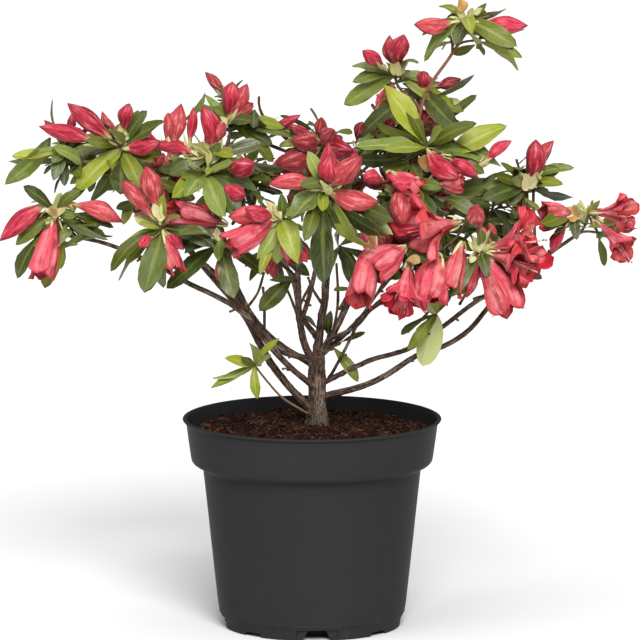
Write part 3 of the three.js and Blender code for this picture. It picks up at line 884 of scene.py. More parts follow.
# %% The hubs at the front
# hub, its place in mm: kinds and their rows, with a clock angle in degrees from the right, and then
# mm. A fifth number is how many degrees a thing turns anticlockwise from its line out of the hub.
HUB_NOTES = """
crest 113 -18 453: bud 185 39 23 13, 355 45 28 14; scale 65 11 9 5, 135 11 9 4, 40 15 8 4;
husk 110 17 10 8; dark 245 20 14 9, 325 39 27 14, 350 44 20 5, 200 35 20 7; mid 330 40 32 15,
155 23 10 6, 15 31 17 5, 40 19 7 5; bright 225 44 27 12 10, 245 23 15 6, 285 13 15 11, 325 49 19 11;
pale 315 54 15 6

upper_spray 62 -6 411: bud 145 32 15 11, 100 30 18 10, 80 32 20 14, 95 25 8 7; scale 145 18 10 7,
120 11 9 6, 85 11 11 7, 55 15 11 8; dark 0 57 32 6 25; mid 105 19 12 9, 170 34 26 8, 190 33 23 8,
210 45 30 13, 215 39 24 11, 25 18 13 9, 350 28 20 8, 330 49 39 14

upper_side 77 12 397: bud 70 16 13 10, 15 34 15 9; dark 355 44 24 6 44, 315 40 34 17, 220 56 30 14;
mid 335 38 15 9, 15 19 11 6; pale 345 33 16 8

upper_mid 84 -32 361: bud 315 31 24 15, 330 43 21 12, 5 62 19 9 34; husk 270 18 16 10, 305 10 7 6;
dark 120 32 24 8, 25 41 30 14, 190 52 33 12, 335 46 18 9, 290 33 12 9; mid 155 41 26 8, 185 32 24 11,
50 19 15 12; bright 125 56 36 19, 180 53 37 14, 15 60 36 17 12, 345 57 35 14

right_top 158 2 328: bud 80 36 27 15, 60 39 24 11; scale 120 14 17 8, 100 11 14 8, 55 14 16 8,
35 13 14 6; dark 345 36 22 7, 165 26 18 11, 200 35 26 14, 230 19 10 8, 140 26 18 6; mid 30 31 18 9,
20 37 24 7, 0 26 19 11, 160 13 9 9, 185 33 20 12, 185 56 27 14

far_right_hub 192 -8 309: bud 240 34 18 9; half 184 23 22 21; husk 140 8 8 6, 70 6 8 6, 250 6 5 6,
335 7 6 5; dark 210 24 23 9, 275 19 16 8, 200 26 18 12; pale 55 8 11 5

far_right_bloom 204 -10 310: bloom 358 26 26 29, 312 36 27 27

right_mid 122 -56 289: bud 255 37 34 14, 95 34 10 14; half 296 51 42 23; bloom 14 40 30 44,
344 36 30 42; scale 140 11 11 5, 115 13 15 5, 30 10 10 4, 65 18 19 4, 335 13 10 4, 230 11 6 4;
dark 240 38 23 13, 335 51 11 7, 285 20 14 9; mid 90 16 11 8

bloom_low 72 -62 288: half 289 36 34 27 -33, 204 31 26 26 12, 225 51 42 20 34, 313 40 32 19 -58;
bloom 262 38 34 40; husk 290 8 7 9; dark 350 38 22 8, 322 50 34 14, 335 44 30 12

bloom_mid 112 -58 311: bloom 190 37 34 46

centre_right 69 -44 337: bud 265 29 26 17, 185 11 22 12, 175 31 9 11; half 330 11 28 17, 0 42 15 14,
260 28 20 17; bloom 230 8 11 31; dark 310 19 16 8, 350 26 13 9, 270 9 16 9, 310 32 14 11, 335 56 13 11

centre 9 -84 339: bud 345 42 33 16, 80 26 17 17, 40 37 26 17, 85 35 29 11, 175 41 35 12;
scale 115 8 13 9, 35 8 10 8, 15 12 13 7; dark 270 70 54 19, 180 18 24 11, 290 36 19 9, 250 40 14 12,
322 58 34 12, 334 56 30 12; mid 330 28 13 9, 225 31 21 18; bright 310 60 40 11, 320 59 18 6, 265 17 9 9,
115 30 22 11; pale 325 61 34 5

centre_back 7 24 356: bud 50 14 13 12, 90 21 13 9, 125 26.5 20 8 -98, 150 29 22 9, 345 24 18 17,
335 32 19 14, 205 36 30 17, 175 23 21 14, 30 35 11 8 45; dark 15 24 6 9, 5 15 11 11

left_peak -61 4 374: bud 85 32 28 14, 75 28 19 10, 65 33 27 11, 40 24 21 10; scale 140 9 9 5, 70 6 7 5;
dark 0 17 11 11, 155 28 24 9, 333 36 26 10, 318 44 24 9; mid 355 41 31 8, 135 17 9 8, 345 52 24 9;
bright 130 27 10 7

left_top_bloom -73 -22 353: bud 120 45 26 13 -40, 134 46 17 8 -48, 110 39 21 8 -28, 100 39 29 15,
70 28 14 9, 170 46 28 11, 165 40 20 9 -6; bright 96 47 12 5 -43; scale 115 13 20 7, 80 11 18 7,
60 16 23 7, 145 18 16 5, 130 16 12 5; dark 350 54 45 11, 15 38 26 12, 205 34 24 11; mid 55 13 20 9,
0 17 15 13, 195 41 26 12

left_top -78 -44 344: bud 10 37 14 14, 330 34 15 12; dark 340 41 32 14, 0 44 30 8, 315 37 26 14,
305 37 12 12; mid 295 34 29 17, 20 23 17 11, 195 17 16 11; bright 140 22 20 13, 220 29 22 14,
235 22 17 13, 5 6 7 8

top_left -139 -20 359: bud 165 63 35 14, 140 52 35 14, 80 35 17 11, 10 30 24 14; scale 95 18 14 6,
75 21 16 6; dark 55 34 16 11, 30 38 22 14, 240 47 34 9, 270 34 25 18, 225 55 12 9, 170 27 11 9;
mid 65 31 10 8, 125 16 15 14, 295 32 24 15, 350 30 25 9, 335 26 20 9; bright 225 48 27 17;
pale 165 32 25 8, 195 43 42 9

top_left_tip -183 -16 355: dark 255 20 29 11, 275 24 10 8, 100 40 14 2; mid 190 40 18 6, 235 10 15 10;
bright 150 8 25 12, 185 37 30 7, 210 49 32 12 16; pale 190 24 23 8

low_left -187 -46 315: bud 207 45 37 14 13, 352 50 33 13 -11; half 260 49 43 19; scale 25 10 13 7,
150 10 10 4, 230 10 7 4, 40 11 11 5; husk 130 7 9 8, 60 4 9 8; dark 140 31 19 11, 240 57 22 11,
345 44 22 6, 40 26 13 9; mid 220 38 19 11, 262 56 44 17 -10, 275 43 32 11, 332 44 30 8, 350 16 20 7;
pale 75 15 10 7

left_mid -108 -70 307: bud 130 47 31 11, 105 48 30 16, 315 21 12 9, 220 21 7 8; half 290 33 24 12;
scale 110 21 12 5, 100 18 12 5; dark 220 49 29 12, 255 46 38 21, 270 44 34 12, 0 38 29 7, 340 40 31 14;
mid 90 26 24 9, 230 52 28 8, 30 16 8 8; bright 170 18 15 8, 200 28 25 7; pale 160 22 18 8

left_rear -131 -30 318: mid 195 12 18 8, 245 15 19 8

left_fork -67 -56 293: bud 265 26 16 8; half 146 45 35 19 20; scale 100 14 13 5, 95 12 11 5;
dark 325 39 29 11, 285 39 29 15, 168 30 28 15, 220 50 38 13, 196 26 24 11; mid 345 8 6 7, 270 11 19 9,
176 22 20 8; bright 180 21 22 8

centre_left -22 -78 316: bud 178 39 25 14, 165 28 17 12, 192 26 19 11, 300 37 14 9; half 210 44 32 20 2,
285 35 22 11; scale 130 18 18 7, 125 12 12 6, 160 15 13 6; dark 305 39 18 9; mid 90 19 17 8;
bright 215 34 24 9, 240 35 23 12, 265 35 30 11, 290 34 27 17, 300 29 21 11, 25 17 10 9, 250 44 10 8;
pale 190 11 9 6

low_twig_leaf -15 -40 264: dark 225 31 30 15; mid 0 2 18 7

sprig_low_left -42 -36 200: bright 208 36 32 7, 275 25 22 8, 166 23 19 9, 100 18 17 12, 30 15 13 9,
48 28 24 4; pale 197 33 22 6; dark 150 12 8 5

under_left -28 -30 284: bud 275 22 14 8, 255 18 12 7; dark 232 28 20 9, 285 26 20 8, 325 32 22 9,
210 24 18 8; mid 340 24 16 7

under_centre 20 -20 286: dark 85 16 20 11, 287 30 22 9, 300 24 18 8, 245 22 18 8, 335 30 24 10,
15 24 20 9

under_leaf 29 -10 253: mid 188 13 12 7

bloom_back 98 -20 296: half 187 42 28 18 12, 172 30 24 16 16, 214 30 26 16 20; dark 0 24 20 9,
60 22 18 8, 120 22 18 9, 300 28 22 10, 240 30 24 10, 270 34 24 9; mid 180 22 18 8, 325 24 18 8

inner_leaf 16 6 206: mid 305 30 30 10

inner_blade 21 6 210: dark 22 20 20 4

inner_upper 12 14 214: dark 84 20 20 8

inner_left 4 12 219: dark 131 13 13 4

sprig_low_right 91 -43 239: dark 210 30 20 5, 60 22 18 7; mid 232 34 22 9, 80 14 13 5;
pale 255 40 38 20, 135 17 14 8; bright 235 27 20 7
"""


def rows_in(growth):
    """Each kind's rows of numbers. Commas part the rows of a kind, and semicolons the kinds."""
    kinds = dict(part.split(" ", 1) for part in growth.split("; "))
    return {kind: [numbers_in(row) for row in rows.split(", ")] for kind, rows in kinds.items()}


HUBS = {name: (np.array(place, float), rows_in(growth)) for name, place, growth in notes_in(HUB_NOTES)}
rows_in_all = sum(len(rows) for _, kinds in HUBS.values() for rows in kinds.values())
print(len(HUBS), "hubs with", rows_in_all, "things growing on them")

# %% [markdown]
# ## From a flat row to a thing in space
#
# A row says how a thing looks from the front, not how it's turned. Its shape tells the rest: every
# kind has a natural width for its length. One that looks too short for its width points to the
# front, and one that looks too narrow is seen on edge. So the tilt and the roll are both worked
# out from the row, and only the roll's sign and a little play are drawn at random.

# %% Turn rows into places and directions
NATURAL_WIDTH = {"bud": 0.42, "half": 0.62, "bloom": 1.1, "scale": 0.45, "husk": 0.8,
                 "dark": 0.32, "mid": 0.32, "bright": 0.34, "pale": 0.5}
LONGEST = {"bud": 46, "half": 58, "bloom": 36, "scale": 24, "husk": 14,
           "dark": 60, "mid": 50, "bright": 50, "pale": 46}
# How far a flower turns to the front in degrees, and which share of that each kind takes.
BLOOM_TURN = 28.0
TURN_SHARE = {"bloom": 1.0, "half": 0.6}
# The most that anything turns to the front, and the play on that.
MOST_TILT = 64.0
TILT_PLAY = 9.0
LEAST_SHOWN = 0.4
FRONT_LIMIT = -116.0
# The front view looks a little down, so a thing seems this much higher for each mm it lies back.
RISE_WITH_DEPTH = 0.1655
FRONT_VIEW = unit(np.array([0.0, -1.0, RISE_WITH_DEPTH]))
BLADES = ("dark", "mid", "bright", "pale")
LEAVES = BLADES + ("scale", "husk")
# The foot of a leaf or a bud hides among the others: a share of what shows, and so many mm more.
HIDDEN_SHARE = {"leaf": 0.5, "bud": 0.16, "half": 0.1, "bloom": 0.0}
HIDDEN_MORE = {"leaf": 8.0, "bud": 4.0, "half": 4.0, "bloom": 3.0}
FLOWERS_AHEAD = np.array([0.0, -5.0, 0.0])
SCALES_AHEAD = np.array([0.0, -8.0, 0.0])
SCALES_WIDER = 1.25
COLLAR_SCALES = 3
grown = {kind: [] for kind in NATURAL_WIDTH}
stalks = []


def add_growth(kind, base, ahead, face, length, width):
    """Notes one thing: its base in mm, the way it points, the way it faces, its length and width."""
    grown[kind].append(np.concatenate([base, ahead, face, [length, width]]))


def collar(foot, ahead, face, length):
    """Pale pointed scales round the foot of a bud, leaning away a little and facing inwards."""
    side = np.cross(ahead, face)
    for i in range(COLLAR_SCALES):
        turn = 2 * np.pi * (i + DRAW.uniform(0, 0.7)) / COLLAR_SCALES
        away = face * np.cos(turn) + side * np.sin(turn)
        lean = np.radians(DRAW.uniform(10, 32))
        along = ahead * np.cos(lean) + away * np.sin(lean)
        back = unit(away - along * (away @ along))
        reach = DRAW.uniform(0.28, 0.52) * min(length, 30)
        add_growth("scale" if DRAW.uniform() < 0.92 else "husk", foot + away * 0.8, along, -back, reach,
                   reach * DRAW.uniform(0.18, 0.3))


def flat_way(clock):
    """The direction of a clock angle in the upright plane that faces the front."""
    return np.array([np.cos(np.radians(clock)), 0.0, np.sin(np.radians(clock))])


def faced(ahead, shows):
    """A face direction that shows this share of its breadth to the front, turned round ahead.

    Two directions at right angles to ahead span every face. The view direction has a part along
    each, so the share seen at an angle is the length of both parts times the cosine of the angle
    from their sum; the wanted share gives that angle, and its sign is drawn.
    """
    up = np.array([0.0, -0.8, 0.6]) + DRAW.normal(0, 0.16, 3)
    up = unit(up - ahead * (up @ ahead))
    side = np.cross(ahead, up)
    toward, across = up @ FRONT_VIEW, side @ FRONT_VIEW
    if shows >= 0.99:
        return up, up
    middle = np.arctan2(across, toward)
    spread = np.arccos(min(1.0, shows / np.hypot(toward, across)))
    turns = middle + np.array([-1, 1]) * spread
    rises = up[2] * np.cos(turns) + side[2] * np.sin(turns)
    turn = turns[int(np.argmax(rises)) if DRAW.uniform() < 0.7 else int(np.argmin(rises))]
    return up * np.cos(turn) + side * np.sin(turn), up


def grow_row(kind, hub, row):
    """One row of a hub, turned into a thing in space.

    The part of its foot that hides adds to its length. Its tilt to the front is the angle whose
    cosine is its natural width for its length over the width it shows, and its length is what
    shows over the cosine of the tilt. Only a thing without tilt is rolled on edge.
    """
    clock, reach, length, width, *turn = row
    flat, pointing = flat_way(clock), flat_way(clock + sum(turn))
    natural = NATURAL_WIDTH[kind]
    part = "leaf" if kind in BLADES else kind
    if part in HIDDEN_SHARE:
        length += max(0.0, min(reach - length, HIDDEN_SHARE[part] * length + HIDDEN_MORE[part]))
    looks = width / length
    tilt = np.arccos(min(1.0, natural / looks))
    if kind in TURN_SHARE:
        tilt = np.radians(BLOOM_TURN) * TURN_SHARE[kind]
    tilt = min(tilt, np.radians(MOST_TILT)) + np.radians(DRAW.uniform(-TILT_PLAY, TILT_PLAY))
    tilt = min(tilt, np.arcsin(min(1.0, (hub[1] - FRONT_LIMIT) * np.cos(tilt) / length)))
    full = min(length / np.cos(tilt), LONGEST[kind])
    ahead = unit(pointing * np.cos(tilt) + np.array([0, -1, RISE_WITH_DEPTH]) * np.sin(tilt))
    base = hub + flat * reach - pointing * full * np.cos(tilt)
    shows = max(min(1.0, looks / natural), LEAST_SHOWN) if tilt < 0.3 and kind in LEAVES else 1.0
    broad = width / shows
    face, front = faced(ahead, shows)
    if kind in ("scale", "husk"):
        base, broad = base + SCALES_AHEAD, broad * SCALES_WIDER
    if kind in ("bud", "half", "bloom"):
        base = base + FLOWERS_AHEAD
        collar(base - ahead * min(4.0, max(reach - length, 0.0)), ahead, front, length)
    add_growth(kind, base, ahead, -face if kind == "pale" else face, full, broad)
    if reach - length > 3:
        stalks.append((hub, base, 0.5 if kind in LEAVES else 0.9))


for place, kinds in HUBS.values():
    for kind, rows in kinds.items():
        for row in rows:
            grow_row(kind, place, row)
front_counts = {kind: len(rows) for kind, rows in grown.items()}
front_buds = front_counts["bud"]
print("things at the front:", front_counts)

# %% [markdown]
# ## The branching rule
#
# The rest of the bush is grown. Each mass of the model is a space that foliage fills, so hubs are
# spread through it on a golden spiral, the pattern that spaces points evenly over a ball. At each
# hub a whorl of leaves goes round the twig by the golden angle, as on the real plant, with larger
# leaves below and smaller ones above. A leaf that would poke out of its mass is shortened, so the
# outline stays true and the sky still shows between the masses.

# %% Rules for directions and gaps
GOLDEN_ANGLE = np.pi * (3 - 5 ** 0.5)


def golden_directions(count):
    """count directions spread evenly over a ball, from the top down, each a golden angle on."""
    height = 1 - (np.arange(count) + 0.5) / count * 2
    turn = GOLDEN_ANGLE * np.arange(count)
    level = np.sqrt(1 - height ** 2)
    return np.stack([level * np.cos(turn), level * np.sin(turn), height], axis=-1)


def cross_pair(axis):
    """Two directions at right angles to an axis and to each other."""
    helper = np.array([0.0, 0.0, 1.0]) if abs(axis[2]) < 0.9 else np.array([1.0, 0.0, 0.0])
    first = unit(np.cross(helper, axis))
    return first, np.cross(axis, first)


def fan_out(axis, turn, lean):
    """The axis times the cosine of the lean, and the side that the turn gives times its sine."""
    first, second = cross_pair(axis)
    return axis * np.cos(lean) + (first * np.cos(turn) + second * np.sin(turn)) * np.sin(lean)


# Gaps that show sky from the front: how far right, how high, and how wide, all in mm.
GAP_NOTES = """
103 413 10, -36 393 14, -13 389 11, 22 386 17, 144 347 10, 137 311 10, -133 295 8, -144 316 9,
-168 277 12, 121 250 12, 163 254 14, 26 369 11, 184 352 9, 190 340 7, 181 316 9, -97 390 7,
135 460 8, -210 313 10, -188 384 9, 128 337 6, -184 395 9, -174 393 8, -148 384 7, -80 399 8,
150 366 12, -64 413 10, 200 287 8, -8 383 7, 10 373 6, 190 327 9, 204 330 8
"""
GAPS = [numbers_in(gap) for gap in GAP_NOTES.split(",")]


def seen_at(points, spots, room=0.0):
    """Whether any point is seen from the front within a spot's width, and the room, of its middle."""
    points, spots = np.array(points), np.array(spots, float)
    right, high = points[:, 0], points[:, 2] + RISE_WITH_DEPTH * points[:, 1]
    away = np.hypot(spots[:, :1] - right, spots[:, 1:2] - high)
    return bool((away < spots[:, 2:] + room).any())


print("the first of five golden directions:", np.round(golden_directions(5)[0], 2))

# %% Rosettes of leaves and flowers
# Half sizes from the middle of a mass to which its leaves reach.
MASS_ROOM = 1.04
# A leaf that pokes out is shortened by this factor, and left out once it is this short, in mm.
SHORTEN = 0.85
SHORTEST_LEAF = 9.0
LEAF_STEP = 0.9
LEAF_DROOP = np.array([0.0, 0.0, -0.12])
BLOOM_DROOP = np.array([0.0, 0.0, -0.35])
# Chances below which a leaf is dark, then mid, then bright, and how much they shift up a mass.
AGE_CHANCES = (0.5, 0.84, 0.96)
AGE_SHIFT = 0.25
SCALES_ROUND_BUDS = 6
SCALES_ALONE = 3


def pick_kind(height_share):
    """Older, darker leaves are likelier low in a mass and bright ones likelier on its top."""
    chance = DRAW.uniform() + AGE_SHIFT * (height_share - 0.5)
    return BLADES[np.searchsorted(AGE_CHANCES, chance, side="right")]


def rosette(hub, axis, leaves, middle, half, least_back=-2.0, longest=34.0):
    """A whorl at a hub: leaf i turns by i golden angles and leans out less the higher it sits.

    Only a leaf that points back by more than least_back grows.
    """
    for i in range(leaves):
        share = i / max(leaves - 1, 1)
        turn = GOLDEN_ANGLE * i + DRAW.uniform(-0.25, 0.25)
        lean = np.radians(100 - 62 * share + DRAW.uniform(-12, 12))
        ahead = unit(fan_out(axis, turn, lean) + LEAF_DROOP)
        if ahead[1] <= least_back:
            continue
        length = longest * (1 - 0.5 * share) * DRAW.uniform(0.75, 1.1)
        base = hub - axis * LEAF_STEP * (leaves - i)
        while length > SHORTEST_LEAF and np.linalg.norm((base + ahead * length - middle) / half) >= MASS_ROOM:
            length *= SHORTEN
        if length <= SHORTEST_LEAF or seen_at([base + ahead * length, base + ahead * length * 0.6], GAPS):
            continue
        face = unit(axis - ahead * (axis @ ahead) + DRAW.normal(0, 0.2, 3))
        face = unit(face - ahead * (face @ ahead))
        share_up = (base[2] + ahead[2] * length - middle[2]) / (2 * half[2]) + 0.5
        add_growth(pick_kind(share_up), base, ahead, face, length, length * DRAW.uniform(0.3, 0.42))


def flowers(hub, axis, buds, blooms):
    """Buds and blooms that fan out from a hub's axis by golden angles, inside a ruff of scales."""
    face = cross_pair(axis)[0]
    for i in range(buds + blooms):
        turn = GOLDEN_ANGLE * i + DRAW.uniform(-0.3, 0.3)
        lean = np.radians(DRAW.uniform(12, 38) if i < buds else DRAW.uniform(45, 80))
        ahead = unit(fan_out(axis, turn, lean))
        if seen_at([hub + ahead * 24, hub + ahead * 12], GAPS, room=0 if i < buds else 12):
            continue
        if i < buds:
            length = DRAW.uniform(18, 30)
            add_growth("bud", hub + ahead * 2, ahead, face, length, length * DRAW.uniform(0.3, 0.4))
        elif DRAW.uniform() < 0.4:
            add_growth("half", hub + ahead * 3, ahead, face, DRAW.uniform(26, 34), DRAW.uniform(15, 21))
        else:
            ahead = unit(ahead + BLOOM_DROOP)
            add_growth("bloom", hub + ahead * 3, ahead, face, DRAW.uniform(26, 33), DRAW.uniform(27, 34))
    if seen_at([hub, hub + axis * 7, hub + axis * 14], GAPS):
        return
    for i in range(SCALES_ROUND_BUDS if buds + blooms else SCALES_ALONE):
        ahead = unit(fan_out(axis, GOLDEN_ANGLE * i, np.radians(DRAW.uniform(10, 40))))
        inwards = -unit(np.cross(ahead, np.cross(axis, ahead)))
        kind = "husk" if DRAW.uniform() < 0.25 else "scale"
        reach = DRAW.uniform(9, 17) * (0.6 if kind == "husk" else 1.0)
        add_growth(kind, hub - axis, ahead, inwards, reach, DRAW.uniform(4, 6))


print("leaves grow to", MASS_ROOM, "of a mass, by chances of", AGE_CHANCES)

# %% Grow the masses that the front doesn't show
MASSES = [name for name in nodes if name not in ("pot", "soil", "trunk") and name not in LIMBS]
# Cubic mm of a mass for each of its hubs, and the fewest and most hubs that a mass has.
MASS_PER_HUB = 24000.0
HUB_LIMITS = (3, 8)
BALL_SHARE = 4.19
HUBS_OUT = 0.42
FRONT_COVER = 34.0
FILLER_LEAVES = 11
UPRIGHT = np.array([0, 0, 0.75])
plant_middle = np.array([0.0, 20.0, 250.0])
front_places = np.array([place for place, _ in HUBS.values()])
mass_spaces = {}
for name in MASSES:
    low, high = (np.array(corner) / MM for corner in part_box(name))
    mass_spaces[name] = ((low + high) / 2, (high - low) / 2)
twig_ends = []


def hides_front(hub):
    """Whether a hub would stand in front of one of the measured hubs."""
    near = np.hypot(*(front_places - hub)[:, [0, 2]].T) < FRONT_COVER
    return bool((near & (front_places[:, 1] > hub[1] - 6)).any())


def grow_mass(name):
    """Hubs on a golden spiral at nearly half way out, each with its whorl and maybe its flowers.

    Their number goes by the volume of a ball as wide, deep and high as the mass. A hub's axis
    points out of the mass, away from the plant's middle, and up.
    """
    middle, half = mass_spaces[name]
    count = int(np.clip(round(BALL_SHARE * half.prod() / MASS_PER_HUB), *HUB_LIMITS))
    rear = name.startswith("back_")
    outward = unit(middle - plant_middle) * 0.4
    for out in golden_directions(count):
        hub = middle + out * half * HUBS_OUT + DRAW.uniform(-4, 4, 3)
        axis = unit(out * (1.0, 1.0, 0.7) + outward + UPRIGHT)
        if hides_front(hub) or name.startswith("sprig"):
            continue
        twig_ends.append((hub, axis))
        rosette(hub, axis, FILLER_LEAVES, middle, half)
        if rear or (out[1] > 0.1 and not name.startswith(("upper", "crest"))):
            in_flower = DRAW.uniform() < (0.75 if rear else 0.4)
            buds, blooms = DRAW.integers(2, 5), DRAW.choice([0, 0, 1, 2]) if rear else 0
            flowers(hub, axis, buds if in_flower else 0, blooms if in_flower else 0)


for name in MASSES:
    grow_mass(name)
print("hubs grown by the rule:", len(twig_ends))

# %% Finish the backs of the front hubs
BACK_LEAVES = 12
BEHIND_LEAVES = 9
BEHIND = np.array([0.0, 12.0, -2.0])
# Spots where the front shows nothing of a kind, given as the gaps are.
NOT_HERE = {"bloom": [(43, 388, 16)], "bud": [(38, 391, 10), (44, 379, 8)], "scale": [(40, 389, 9)]}


def nearest_mass(hub):
    """The mass whose middle is nearest to a hub, measured in its own half sizes."""
    return min(mass_spaces.values(), key=lambda space: np.linalg.norm((hub - space[0]) / space[1]))


def outer_half(row):
    """Four points from the middle of a grown thing to its tip."""
    return row[:3] + row[3:6] * np.linspace(0.5, 1, 4)[:, None] * row[9]


for name, (hub, _) in HUBS.items():
    middle, half = nearest_mass(hub)
    axis = unit(np.array([0.0, 0.35, 0.9]) + 0.4 * unit(hub - plant_middle))
    twig_ends.append((hub, axis))
    if not name.startswith(("sprig", "far", "low_twig", "inner", "under")):
        rosette(hub, axis, BACK_LEAVES, middle, half * 1.1, least_back=0.15, longest=30.0)
        rosette(hub + BEHIND, unit(axis + np.array([0.0, -0.5, 0.0])), BEHIND_LEAVES, middle, half * 0.95,
                least_back=-0.35, longest=29.0)
for kind, spots in NOT_HERE.items():
    placed = front_counts[kind]
    kept = [row for row in grown[kind][placed:] if not seen_at(outer_half(row), spots)]
    grown[kind] = grown[kind][:placed] + kept
print("things grown in all:", {kind: len(rows) for kind, rows in grown.items()})

# %% [markdown]
# ## Twigs
#
# A twig has to leave its bough at a narrow angle and then turn up into its cluster, because shoots
# bend towards the light. A straight stick to the nearest bough looks like wire. Each twig here is a
# curve with four guide points: where it sets off, a little on along the bough's own direction, a
# little below the hub, and the hub. It starts where the wood is both near and well aimed.

# %% Twigs and stubs
boughs = {name: path for name, path in limb_paths.items() if name != "trunk"}
wood_points = np.concatenate(list(boughs.values()))
wood_aims = np.concatenate([unit(np.gradient(path, axis=0)) for path in boughs.values()])
wood_radii = np.concatenate([limb_radius(name, np.linspace(0, 1, PATH_POINTS)) for name in boughs])
TWIG_RINGS = 16
TWIG_SIDES = 8
# The radius at the tip of every twig, the most that a grown one starts with, and a bare one's.
TIP_RADIUS = 0.95
MOST_RADIUS = 1.7
BARE_RADIUS = 1.15
# How far on a twig's two inner guides lie, as a share of its span, and their play.
GUIDE_SHARE = 0.35
GUIDE_PLAY = 0.05
# Bare twigs low in the middle: foot, elbow and tip in mm.
TWIG_NOTES = """
-11 4 231, -17 2 247, -26 0 264; -35 -6 222, -35 -8 238, -36 -10 254;
-48 -10 238, -40 -14 250, -35 -16 266; -12 6 232, -4 4 248, 4 2 264;
14 4 210, 19 2 240, 18 0 270; 7 2 240, 1 0 250, -3 -2 260;
20 -4 236, 28 -8 252, 34 -10 268; 33 -10 228, 44 -16 244, 52 -20 258;
-60 -18 262, -64 -20 274, -74 -24 284; 70 -20 222, 84 -24 236, 92 -26 250;
108 -30 244, 112 -32 252, 113 -34 262; 118 -30 248, 130 -32 253, 142 -34 262
"""
BARE_TWIGS = [[numbers_in(bend) for bend in twig.split(",")] for twig in TWIG_NOTES.split(";")]
STUBS = 46


def twig_path(hub, axis):
    """A curve and its radius at the foot. The curve is the sum of four guides, each times a share,
    which for the first is the cube of the way left and for the last the cube of the way gone.

    The start is the place on the wood with the least distance times how badly it's aimed.
    """
    gap = hub - wood_points
    far = np.linalg.norm(gap, axis=1)
    aimed = (wood_aims * gap).sum(1) / np.maximum(far, 1e-6)
    best = int(np.argmin((far + 4) * (1.55 - aimed)))
    start, span = wood_points[best], far[best]
    leaving, arriving = wood_aims[best] * span * GUIDE_SHARE, axis * span * GUIDE_SHARE
    guides = np.array([start, start + leaving, hub - arriving, hub])
    guides[1:3] += DRAW.normal(0, GUIDE_PLAY * span, (2, 3))
    t = np.linspace(0, 1, TWIG_RINGS)[:, None]
    shares = np.concatenate([(1 - t) ** 3, 3 * t * (1 - t) ** 2, 3 * t ** 2 * (1 - t), t ** 3], axis=1)
    return shares @ guides, min(0.8 * wood_radii[best], MOST_RADIUS)


def stub_path():
    """A dead stub: a short straight twig that leaves the wood at a steep angle."""
    best = int(DRAW.integers(0, len(wood_points)))
    away = unit(np.cross(wood_aims[best], DRAW.normal(0, 1, 3)))
    ahead = unit(away + wood_aims[best] * DRAW.uniform(0.2, 0.9))
    reach = wood_radii[best] + DRAW.uniform(1.5, 5.0)
    return wood_points[best] + np.linspace(0, 1, TWIG_RINGS)[:, None] * ahead * reach, DRAW.uniform(0.55, 0.9)


def twig_walls():
    """All twigs as tubes that thin out evenly, with a small knob here and there."""
    made = [twig_path(hub, axis) for hub, axis in twig_ends]
    made += [(smooth_path(guides, TWIG_RINGS), BARE_RADIUS) for guides in BARE_TWIGS]
    made += [stub_path() for _ in range(STUBS)]
    paths = np.array([path for path, _ in made])
    thick = np.array([radius for _, radius in made])[:, None]
    share = np.linspace(0, 1, TWIG_RINGS)[None]
    radii = (thick + (TIP_RADIUS - thick) * share) * DRAW.uniform(0.88, 1.14, (len(made), TWIG_RINGS))
    return tubes(paths, radii, TWIG_SIDES)


print("bare twigs:", len(BARE_TWIGS), "and stubs:", STUBS)

# %% Stalks, shoots and fibres
STALK_RINGS = 6
STALK_SIDES = 6
FIBRE_SIDES = 4
SHOOT_SEED = 60


def stalk_walls():
    """Thin stalks from a hub to the foot of what grows out from it, straight but for a slight sag."""
    start, end = np.array([hub for hub, _, _ in stalks]), np.array([base for _, base, _ in stalks])
    t = np.linspace(0, 1, STALK_RINGS)[None, :, None]
    sag = 4 * t * (1 - t) * np.array([0, 0, -1.0])
    paths = start[:, None] * (1 - t) + end[:, None] * t + sag
    thick = np.array([radius for _, _, radius in stalks])[:, None]
    return tubes(paths, thick * np.linspace(1.15, 0.9, STALK_RINGS)[None], STALK_SIDES)


def twig_finish(name, old, young):
    """Young wood: one colour to another in patches, with fine pale hairs as a speckle."""
    f = Finish(name)
    place = f.object_place()
    patches = f.step(f.noise(place, 60.0, 3.0), 0.4, 0.65)
    specks = f.step(f.noise(place, 1100.0, 2.0), 0.5, 0.7)
    hairy = f.coats(f.blend(patches, old, young), (f.times(specks, 0.4), (160, 138, 112)))
    return f.done(Base_Color=hairy, Roughness=0.75, Normal=f.bump(specks, 0.15 * MM), Specular_IOR_Level=0.3)


fibres = fibre_paths()
fibre_radii = np.broadcast_to(DRAW.uniform(0.18, 0.4, (FIBRES, 1)), fibres.shape[:2])
make_piece("peat_fibres", [skin(tubes(fibres, fibre_radii, FIBRE_SIDES))],
           twig_finish("peat_fibre", (40, 24, 16), (98, 66, 48)))
make_piece("twigs", [skin(twig_walls())], twig_finish("young_twig", (74, 52, 40), (104, 84, 56)))
shoots = [bark_of(name, SHOOT_SEED + i)[0] for i, name in enumerate(GREEN_SHOOTS)]
make_piece("green_shoots", shoots, twig_finish("pink_shoot", (142, 96, 84), (128, 112, 72)),
           GREEN_SHOOTS)
make_piece("leaf_stalks", [skin(stalk_walls())],
           twig_finish("leaf_stalk", (110, 104, 52), (136, 92, 64)))

# %% [markdown]
# ## Leaves
#
# An azalea leaf is a wedge that widens slowly from its stalk, is widest past the middle, and ends in
# a short point. A young one is a plain ellipse. Neither is flat. The midrib lies in a groove, the
# two halves rise from it and roll down again at the edge, the tip droops, and no two leaves twist
# alike. A flat card with a picture of a leaf would be lighter, but from the side it vanishes. Here
# each leaf is two sheets on a grid of eight rows by five columns, which is few enough for hundreds
# of them and enough to bend. The two sheets share the points of their rim, so that the leaf is
# closed and has an inside.

